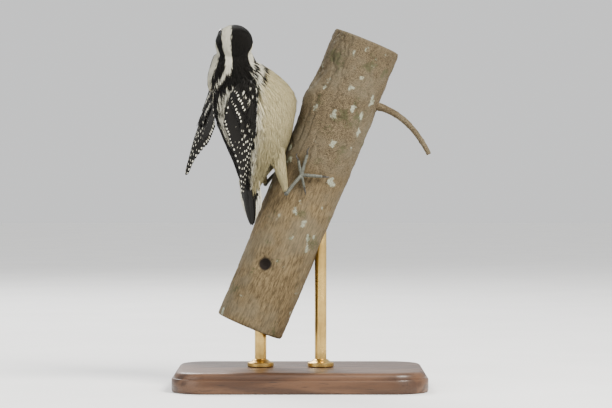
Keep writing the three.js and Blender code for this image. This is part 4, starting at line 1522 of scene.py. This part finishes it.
def twig_mesh():
    start = seen_from(PERCH, on_bark(TWIG["along"], TWIG["angle"], GAP))
    rings, around = 90, 28
    share = np.linspace(0, 1, rings)
    path = np.stack([
        start[0] + TWIG["length"] * share - TWIG["sunk"] * (share < 0.02),
        start[1] - TWIG["back"] * share,
        start[2] + TWIG["rise"] * share - TWIG["droop"] * share**2,
    ], -1)
    radii = mix(TWIG["radius"], TWIG["tip_radius"], share) * 0.94
    collar = 0.5 * hump(share, 0, 0.05)
    knots = sum(0.32 * hump(share, at, 0.012) for at in (0.3, 0.55, 0.82))
    points, *faces = tube(path, radii + knots * 0.8 + collar, around, up=(0, 1, 0))
    wall = points[:-2]
    relief = 0.16 * lattice_noise(wall, 1.3, 12, (3, 1, 1))
    points[:-2] += unit(wall - np.repeat(path, around, axis=0)) * relief[:, None]
    data = {"perch": points + [0, 0, 40], "cut": np.zeros_like(points)}
    data["cut"][-1] = 1
    return make_mesh("perch_side_twig", placed(PERCH, points), faces, point_data=data)


def base_mesh():
    """The walnut base: a rounded slab with a moulded upper edge."""
    _, high = (np.array(corner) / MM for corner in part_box("stand_base"))
    corner_radius = 24
    profile = ((1.4, 0), (0.3, 0.5), (0, 1.6), (0, 8.6), (0.35, 9.2), (1.5, 9.6), (1.6, 10.2), (1.8, 11.4),
               (2.6, 12.8), (4.0, 13.7), (6.0, high[2]), (16.0, high[2]))
    turn = full_turn(160)
    corners = np.stack([np.sign(np.cos(turn)), np.sign(np.sin(turn)), 0 * turn], -1)
    rings = []
    for inset, z in profile:
        radius = max(corner_radius - inset, 8)
        rings.append(corners * (high * [1, 1, 0] - inset - radius) + polar(radius, turn, z))
    index, _, quads = ring_grid(len(profile), len(turn))
    faces = [quads, index[-1][None], index[0][None, ::-1]]
    return crisp(make_mesh("stand_base_walnut", np.concatenate(rings), faces))


def rod_mesh(node):
    """A brass rod with a turned collar, from the CAD node's place and height."""
    low, high = (np.array(corner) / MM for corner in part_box(node))
    centre, bottom, top = (low + high) / 2, low[2], high[2]
    collar = ((8.7, 0), (9, 0.3), (9, 2.4), (8.6, 2.9), (7.4, 3.2), (6.2, 3.7), (5.4, 4.5), (4.9, 4.9),
              (4.3, 5.0), (4.0, 5.3))
    rings = [(radius, bottom + z) for radius, z in collar]
    rings += [(4.0, z) for z in np.linspace(bottom + 8, top - 0.4, 8)] + [(3.6, top)]
    turn = full_turn(64)
    walls = [polar(radius, turn, z) for radius, z in rings]
    points = np.concatenate([*walls, [[0, 0, bottom], [0, 0, top]]])
    faces = closed_sections(1, len(rings), len(turn))
    return crisp(make_mesh(node + "_brass", points + [centre[0], centre[1], 0], faces))


# ---- Materials ----


class Material:
    """A node material. Each call adds a node and returns its first output."""

    def __init__(self, name, **settings):
        self.material = bpy.data.materials.new(name)
        self.material.use_nodes = True
        self.tree = self.material.node_tree
        self.shader = self.tree.nodes["Principled BSDF"]
        for key, value in settings.items():
            self.shader.inputs[key.replace("_", " ")].default_value = value

    def add(self, kind, inputs=None, output=0, **settings):
        node = self.tree.nodes.new("ShaderNode" + kind)
        for key, value in settings.items():
            setattr(node, key, value)
        for key, value in (inputs or {}).items():
            self.join(value, node.inputs[key])
        return node.outputs[output]

    def join(self, value, socket):
        if isinstance(value, bpy.types.NodeSocket):
            self.tree.links.new(value, socket)
        else:
            socket.default_value = value

    def attribute(self, name, output="Vector"):
        return self.add("Attribute", output=output, attribute_name=name)

    def parts(self, vector):
        node = self.tree.nodes.new("ShaderNodeSeparateXYZ")
        self.join(vector, node.inputs[0])
        return node.outputs

    def math(self, operation, a, b=0.0):
        return self.add("Math", {0: a, 1: b}, operation=operation)

    def plus(self, a, b):
        return self.math("ADD", a, b)

    def minus(self, a, b):
        return self.math("SUBTRACT", a, b)

    def times(self, a, b):
        return self.math("MULTIPLY", a, b)

    def step(self, value, low, high, start=0.0, end=1.0):
        inputs = {"Value": value, "From Min": low, "From Max": high, "To Min": start, "To Max": end}
        return self.add("MapRange", inputs, interpolation_type="SMOOTHSTEP")

    def blend(self, share, a, b, kind="MIX"):
        node = self.tree.nodes.new("ShaderNodeMix")
        node.data_type = "RGBA"
        node.blend_type = kind
        for value, socket in ((share, node.inputs[0]), (a, node.inputs[6]), (b, node.inputs[7])):
            if not isinstance(value, bpy.types.NodeSocket) and socket != node.inputs[0]:
                value = tuple(value)[:3] + (1,)
            self.join(value, socket)
        return node.outputs[2]

    def tinted(self, colour, tone):
        return self.blend(1.0, colour, self.add("CombineColor", {0: tone, 1: tone, 2: tone}), "MULTIPLY")

    def noise(self, vector, scale, detail=3.0, roughness=0.55, distortion=0.0):
        inputs = {"Vector": vector, "Scale": scale, "Detail": detail, "Roughness": roughness}
        return self.add("TexNoise", {**inputs, "Distortion": distortion})

    def scaled(self, vector, scale):
        return self.add("Mapping", {"Vector": vector, "Scale": scale})

    def bump(self, height, distance, strength):
        return self.add("Bump", {"Height": height, "Distance": distance * MM, "Strength": strength})

    def place(self):
        """Places in the object's own coordinates, in metres."""
        return self.add("TexCoord", output=3)

    def finish(self, **links):
        for key, value in links.items():
            self.join(value, self.shader.inputs[key.replace("_", " ")])
        return self.material


def barb_relief(m, barb):
    """Lines of barbs across a vane and its shaft, and the fine noise along its barbs."""
    run, across, _ = m.parts(barb)
    wobble = m.noise(barb, 1.6, 2.0)
    line = m.math("SINE", m.times(m.plus(run, m.times(wobble, 0.5)), 17.0))
    fine = m.noise(m.scaled(barb, (9.0, 1.1, 40.0)), 1.0, 2.0)
    shaft = m.step(m.math("ABSOLUTE", across), 0.05, 0.14, 1.0, 0.0)
    return m.plus(m.times(line, 0.3), m.plus(fine, m.times(shaft, 0.6))), fine


def plumage_material():
    m = Material("plumage", Specular_IOR_Level=0.16, Sheen_Weight=0.06, Sheen_Roughness=0.4)
    barb = m.attribute("barb")
    relief, fine = barb_relief(m, barb)
    colour = m.attribute("plumage", "Color")
    tone = m.step(fine, 0.25, 0.75, 0.72, 1.12)
    colour = m.tinted(colour, tone)
    light = m.add("RGBToBW", {0: colour})
    return m.finish(Base_Color=colour, Roughness=m.step(light, 0.02, 0.2, 0.5, 0.8),
                    Normal=m.bump(relief, 0.05, 0.8))


def flight_material():
    """Black vanes, with rows of white spots in the wings and barred white webs in the outer tail."""
    m = Material("flight_feathers", Specular_IOR_Level=0.22, Sheen_Weight=0.04, Sheen_Roughness=0.4)
    barb = m.attribute("barb")
    relief, fine = barb_relief(m, barb)
    run, _, own = m.parts(barb)
    length, spacing, kind = m.parts(m.attribute("pattern"))
    wobble = m.times(m.minus(m.noise(barb, 0.9, 2.0), 0.5), 1.1)
    from_tip = m.plus(m.minus(length, run), wobble)
    share = m.add("SeparateXYZ", {0: m.add("UVMap", uv_map="vane")})
    web = m.times(m.math("ABSOLUTE", m.minus(share, 0.5)), 2.0)

    own_shift = m.times(m.math("SINE", m.times(own, 91.0)), 0.5)
    step = m.math("DIVIDE", m.minus(m.plus(from_tip, own_shift), 2.3), spacing)
    away = m.times(m.minus(step, m.math("ROUND", step)), spacing)
    covert = m.math("GREATER_THAN", spacing, 30.0)
    middle = m.times(m.minus(1.0, covert), 0.6)
    wide = m.plus(0.24, m.times(covert, 0.1))
    across_web = m.math("POWER", m.math("ABSOLUTE", m.math("DIVIDE", m.minus(web, middle), wide)), 2.6)
    along_web = m.math("POWER", m.math("ABSOLUTE", m.math("DIVIDE", away, 0.8)), 2.2)
    spot = m.step(m.math("SQRT", m.plus(across_web, along_web)), 0.86, 1.08, 1.0, 0.0)
    spot = m.times(spot, m.math("MINIMUM", kind, 1.0))
    is_tail = m.math("GREATER_THAN", kind, 1.5)
    wings = m.times(spot, m.minus(1.0, is_tail))

    white_share = m.minus(kind, 2.0)
    gap = m.minus(m.math("FRACT", m.math("DIVIDE", from_tip, 6.5)), 0.62)
    bars = m.math("MAXIMUM", m.step(m.math("ABSOLUTE", gap), 0.13, 0.17), m.step(web, 0.75, 0.9))
    whole, some = (m.math("GREATER_THAN", white_share, low) for low in (0.9, 0.1))
    outer_edge = m.times(m.step(web, 0.35, 0.5), m.step(from_tip, 13.0, 17.0, 1.0, 0.0))
    tail = m.math("MAXIMUM", m.times(whole, bars), m.times(some, outer_edge))
    tail = m.times(tail, m.times(is_tail, some))
    tail = m.times(tail, m.step(from_tip, 33.0, 38.0, 1.0, 0.0))

    pale = m.math("MAXIMUM", wings, tail)
    colour = m.blend(pale, m.attribute("plumage", "Color"), WHITE)
    tone = m.step(fine, 0.25, 0.75, 0.75, 1.12)
    return m.finish(Base_Color=m.tinted(colour, tone), Roughness=m.plus(0.42, m.times(pale, 0.3)),
                    Normal=m.bump(relief, 0.05, 0.8))


def skin_material():
    m = Material("skin", Specular_IOR_Level=0.4)
    place = m.place()
    colour = m.attribute("plumage", "Color")
    cells = m.add("TexVoronoi", {"Vector": place, "Scale": 2600.0})
    mottle = m.step(m.noise(place, 700.0, 4.0), 0.3, 0.7, 0.75, 1.2)
    colour = m.tinted(colour, mottle)
    run, away, is_foot = m.parts(m.attribute("scute"))
    wave = m.math("ABSOLUTE", m.minus(m.math("FRACT", m.math("DIVIDE", run, SCUTE)), 0.5))
    seam = m.times(m.step(wave, 0.40, 0.475), m.times(m.step(away, -0.1, 0.3), is_foot))
    colour = m.blend(m.times(seam, 0.5), colour, (0.03, 0.031, 0.027))
    relief = m.minus(cells, seam)
    return m.finish(Base_Color=colour, Roughness=m.step(cells, 0.0, 0.7, 0.62, 0.42),
                    Normal=m.bump(relief, 0.06, 0.7))


def horn_material(name, base, tip_share):
    m = Material(name, Specular_IOR_Level=0.5, Coat_Weight=0.15, Coat_Roughness=0.3)
    place = m.place()
    streak = m.noise(m.scaled(place, (900.0,) * 3), 1.0, 4.0, 0.6, distortion=0.6)
    colour = m.blend(m.step(streak, 0.3, 0.72), base, tip_share)
    chips = m.noise(place, 2600.0, 3.0)
    return m.finish(Base_Color=colour, Roughness=m.step(chips, 0.2, 0.8, 0.28, 0.5),
                    Normal=m.bump(m.plus(streak, m.times(chips, 0.4)), 0.06, 0.5))


def eye_material():
    m = Material("dark_eye", Specular_IOR_Level=0.15, Coat_Weight=1.0, Coat_Roughness=0.02, Coat_IOR=1.4)
    angle, turn, _ = m.parts(m.attribute("iris"))
    fibres = m.noise(m.add("CombineXYZ", {0: m.times(turn, 9.0), 1: m.times(angle, 0.06)}), 1.0)
    iris = m.blend(m.step(fibres, 0.3, 0.7), (0.006, 0.0028, 0.002), (0.022, 0.0095, 0.0055))
    rim = m.blend(m.step(angle, 34.0, 42.0), iris, (0.004, 0.0035, 0.003))
    colour = m.blend(m.step(angle, 21.0, 23.0), (0.0015, 0.0015, 0.0015), rim)
    return m.finish(Base_Color=colour, Roughness=0.12)


def bark_material():
    m = Material("branch_bark", Specular_IOR_Level=0.25)
    place = m.attribute("perch")
    cut, _, _ = m.parts(m.attribute("cut"))
    x, y, along = m.parts(place)
    grain = m.noise(m.scaled(place, (0.9, 0.9, 0.18)), 1.0, 6.0, 0.65)
    patches = m.noise(place, 0.055, 4.0, 0.6)
    fine = m.noise(place, 1.6, 5.0, 0.7)
    smooth_bark = m.blend(m.step(grain, 0.32, 0.7), (0.088, 0.064, 0.035), (0.215, 0.163, 0.094))
    flaky_bark = m.blend(m.step(fine, 0.32, 0.7), (0.05, 0.037, 0.022), (0.2, 0.158, 0.1))
    up = m.step(m.plus(along, m.times(m.minus(patches, 0.5), 90.0)), 25.0, 70.0)
    colour = m.blend(up, smooth_bark, flaky_bark)
    weather = m.step(m.noise(place, 0.03, 3.0), 0.42, 0.62)
    colour = m.blend(m.times(weather, 0.45), colour, (0.165, 0.146, 0.105))
    pale = m.add("TexVoronoi", {"Vector": m.scaled(place, (0.12, 0.12, 0.085)), "Scale": 1.0})
    lobes = m.plus(m.times(m.noise(place, 0.42, 4.0, 0.6), 0.75), m.times(fine, 0.25))
    edge = m.plus(pale, m.minus(lobes, 0.5))
    some = m.plus(m.noise(place, 0.07, 2.0), m.times(up, 0.07))
    lichen = m.times(m.step(edge, 0.19, 0.29, 1.0, 0.0), m.step(some, 0.53, 0.6))
    crust = m.blend(m.step(fine, 0.35, 0.65), (0.19, 0.2, 0.15), (0.36, 0.365, 0.29))
    colour = m.blend(lichen, colour, crust)
    moss = m.times(m.step(m.noise(place, 0.075, 5.0, 0.7), 0.56, 0.66), m.step(fine, 0.35, 0.6))
    colour = m.blend(m.times(moss, 0.8), colour, (0.055, 0.065, 0.028))
    # The knot's dent is painted near black: painted shade of its hollow.
    knot_place = m.add("VectorMath", {0: place, 1: knot_centre()}, operation="DISTANCE", output=1)
    colour = m.blend(m.step(knot_place, 3.4, 5.6, 1.0, 0.0), colour, (0.018, 0.013, 0.010))
    radius = m.math("SQRT", m.plus(m.times(x, x), m.times(y, y)))
    wander = m.times(m.noise(m.scaled(place, (0.09, 0.09, 0.0)), 1.0, 3.0), 3.5)
    rings = m.math("SINE", m.times(m.plus(radius, wander), 4.1))
    end_wood = m.blend(m.step(rings, -0.2, 0.9), (0.50, 0.36, 0.21), (0.33, 0.21, 0.11))
    end_wood = m.blend(m.step(m.noise(place, 0.35, 5.0), 0.45, 0.75), end_wood, (0.28, 0.19, 0.115))
    colour = m.blend(cut, colour, end_wood)
    height = m.plus(m.times(fine, 0.7), m.times(grain, 0.6))
    height = m.plus(height, m.times(lichen, 0.35))
    return m.finish(Base_Color=colour, Roughness=m.step(fine, 0.2, 0.8, 0.95, 0.7),
                    Normal=m.bump(height, 0.5, 0.9))


def knot_centre():
    radius = bark_radius(KNOT["along"], KNOT["angle"])
    return tuple(polar(radius, np.radians(KNOT["angle"]), KNOT["along"]))


def walnut_material():
    m = Material("walnut", Specular_IOR_Level=0.5, Coat_Weight=0.25, Coat_Roughness=0.25)
    place = m.place()
    warp = m.noise(m.scaled(place, (3.2, 34.0, 34.0)), 1.0, 3.0, 0.5)
    bands = m.math("SINE", m.times(warp, 46.0))
    pores = m.noise(m.scaled(place, (90.0, 1900.0, 1900.0)), 1.0, 3.0, 0.6)
    colour = m.blend(m.step(bands, -1.0, 1.0), (0.070, 0.035, 0.019), (0.128, 0.067, 0.036))
    colour = m.blend(m.step(pores, 0.56, 0.7), colour, (0.028, 0.014, 0.008))
    return m.finish(Base_Color=colour, Roughness=m.step(pores, 0.3, 0.7, 0.33, 0.55),
                    Normal=m.bump(m.times(pores, -1.0), 0.12, 0.4))


def brass_material():
    m = Material("brass", Metallic=1.0)
    place = m.place()
    lines = m.noise(m.scaled(place, (150.0, 150.0, 9000.0)), 1.0, 3.0)
    tarnish = m.noise(place, 60.0, 4.0, 0.6)
    colour = m.blend(m.step(tarnish, 0.4, 0.75), (0.66, 0.47, 0.19), (0.44, 0.30, 0.12))
    rough = m.plus(m.step(tarnish, 0.35, 0.8, 0.2, 0.4), m.times(lines, 0.12))
    return m.finish(Base_Color=colour, Roughness=rough, Normal=m.bump(lines, 0.02, 0.4))


SKY = (0.975, 0.98, 0.985)


def floor_material():
    m = Material("floor", Roughness=0.75, Specular_IOR_Level=0.2, Emission_Strength=0.12)
    m.shader.inputs["Emission Color"].default_value = (*SKY, 1)
    place = m.place()
    colour = m.blend(m.step(m.noise(place, 9.0, 3.0), 0.3, 0.7), (0.80, 0.795, 0.78), (0.83, 0.825, 0.81))
    return m.finish(Base_Color=colour)


# ---- The model put together ----


def dress(piece, material, slot, replaced=()):
    piece.data.materials.clear()
    piece.data.materials.append(material)
    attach(piece, "root")
    if replaced:
        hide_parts(*replaced)
    return piece


def whole_skin():
    """The one skin: the body's, the bare feet's and the lids', with the coat's own markings."""
    body = bare_skin()
    points = points_of(body)
    run, angle, _ = on_spine(points)
    kind = kind_of(regions_of(points))
    colours = markings(run, angle, np.zeros(len(points)))
    colours[kind == "leg"] = LEG_BUFF
    colours[kind == "wing"] = BLACK
    # The body's skin takes the coat's markings darkened, as painted shade under the feathers.
    parts, shades = [body], [colours * SKIN_PAINTED_SHADE]
    for name, side in SIDES.items():
        foot = foot_skin(name, side)
        tone = 0.85 + 0.3 * (lattice_noise(points_of(foot), 1.4, 21)[:, None] * 0.5 + 0.5)
        rings = lids(name)
        parts += [foot, *rings]
        shades += [TOE_SKIN * tone, *(np.tile(LID_SKIN, (len(ring.data.vertices), 1)) for ring in rings)]
    for part, shade in zip(parts, shades):
        for layer in list(part.data.color_attributes):
            part.data.color_attributes.remove(layer)
        add_point_data(part.data, "plumage", opaque(shade))
    return join("skin", parts)


plumage, flight = plumage_material(), flight_material()
horn = horn_material("bill_horn", (0.022, 0.02, 0.019), (0.06, 0.056, 0.052))
claw_horn = horn_material("claw_horn", (0.018, 0.016, 0.014), (0.075, 0.068, 0.058))
bark = bark_material()

skin = whole_skin()
dress(skin, skin_material(), "mixed_feather", FLESH + ("foot_left", "foot_right"))

SLOTS = {
    "coat_crown": "black_feather", "coat_head_left": "mixed_feather", "coat_head_right": "mixed_feather",
    "coat_neck": "mixed_feather", "coat_wing_left": "black_feather", "coat_wing_right": "black_feather",
}
for piece in coat() + [nasal_tufts()]:
    dress(piece, plumage, SLOTS.get(piece.name, "buff_feather"))
for name in WING_FRAMES:
    dress(wing_feathers(name), flight, "black_feather")
dress(tail_feathers(), flight, "black_feather")
for name in BILL_HALVES:
    dress(bill_half(name), horn, "horn", ("bill_" + name,))
eye = eye_material()
for name in SIDES:
    dress(eye_ball(name), eye, "eye", ("eye_" + name,))
dress(claws(), claw_horn, "horn", [f"claw_{side}_{toe}" for side in SIDES for toe in TOES])
dress(perch_mesh(), bark, "bark", ("perch_branch",))
dress(twig_mesh(), bark, "bark", ("perch_twig",))
dress(base_mesh(), walnut_material(), "stand_wood", ("stand_base",))
brass = brass_material()
for node in ("stand_rod_low", "stand_rod_high"):
    dress(rod_mesh(node), brass, "stand_brass", (node,))
bpy.data.objects.remove(outer)

# ---- Stage, light and camera ----


def stage():
    """A wide round pale floor."""
    turn = full_turn(128)
    rings = [polar(radius, turn, -0.1) for radius in (6000, 1000, 200)]
    index, _, quads = ring_grid(len(rings), len(turn))
    floor = make_mesh("floor", np.concatenate(rings), [quads, index[-1][None]])
    floor.data.materials.append(floor_material())
    floor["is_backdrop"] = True


def lamp(name, place, aim, size, watts, colour):
    light = bpy.data.lights.new(name, "AREA")
    light.shape = "RECTANGLE"
    light.size, light.size_y = size
    light.energy = watts
    light.color = colour
    thing = bpy.data.objects.new(name, light)
    thing.location = place
    thing.rotation_euler = (Vector(aim) - Vector(place)).to_track_quat("-Z", "Y").to_euler()
    bpy.context.scene.collection.objects.link(thing)


# The camera's lens and sensor in millimetres, the frame's height over the part's, and the photo's width over
# its height.
LENS, SENSOR, VIEW_MARGIN, FRAME_SHAPE = 150, 36, 1.13, 612 / 408


def camera():
    low, high = (Vector(corner) for corner in cad_box)
    aim = Vector((0.004, 0, (low.z + high.z) / 2 + 0.002))
    lens = bpy.data.cameras.new("camera")
    lens.lens = LENS
    lens.sensor_width = SENSOR
    lens.clip_end = 50
    distance = (high.z - low.z) * VIEW_MARGIN * FRAME_SHAPE * LENS / SENSOR
    thing = bpy.data.objects.new("camera", lens)
    thing.location = aim + Vector((0, -distance, 0.02))
    thing.rotation_euler = (aim - thing.location).to_track_quat("-Z", "Y").to_euler()
    bpy.context.scene.collection.objects.link(thing)
    bpy.context.scene.camera = thing


stage()
camera()
lamp("key", (0.75, -0.85, 1.15), (-0.02, 0, 0.15), (0.55, 0.55), 30, (1.0, 0.975, 0.93))
lamp("fill", (-1.3, -1.0, 0.7), (0, 0, 0.12), (1.2, 1.2), 7, (0.95, 0.98, 1.0))
lamp("rim", (-0.5, 1.2, 1.2), (0, 0, 0.16), (0.7, 0.7), 16, (1.0, 1.0, 1.0))
world = bpy.data.worlds.new("world")
world.use_nodes = True
world.node_tree.nodes["Background"].inputs[0].default_value = (*SKY, 1)
world.node_tree.nodes["Background"].inputs[1].default_value = 0.66
bpy.context.scene.world = world
bpy.context.scene.view_settings.look = "AgX - Medium High Contrast"
bpy.context.scene.view_settings.exposure = 0.1

{"cad": cad_box and [list(v) for v in cad_box], "visual": [list(v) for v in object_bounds()]}
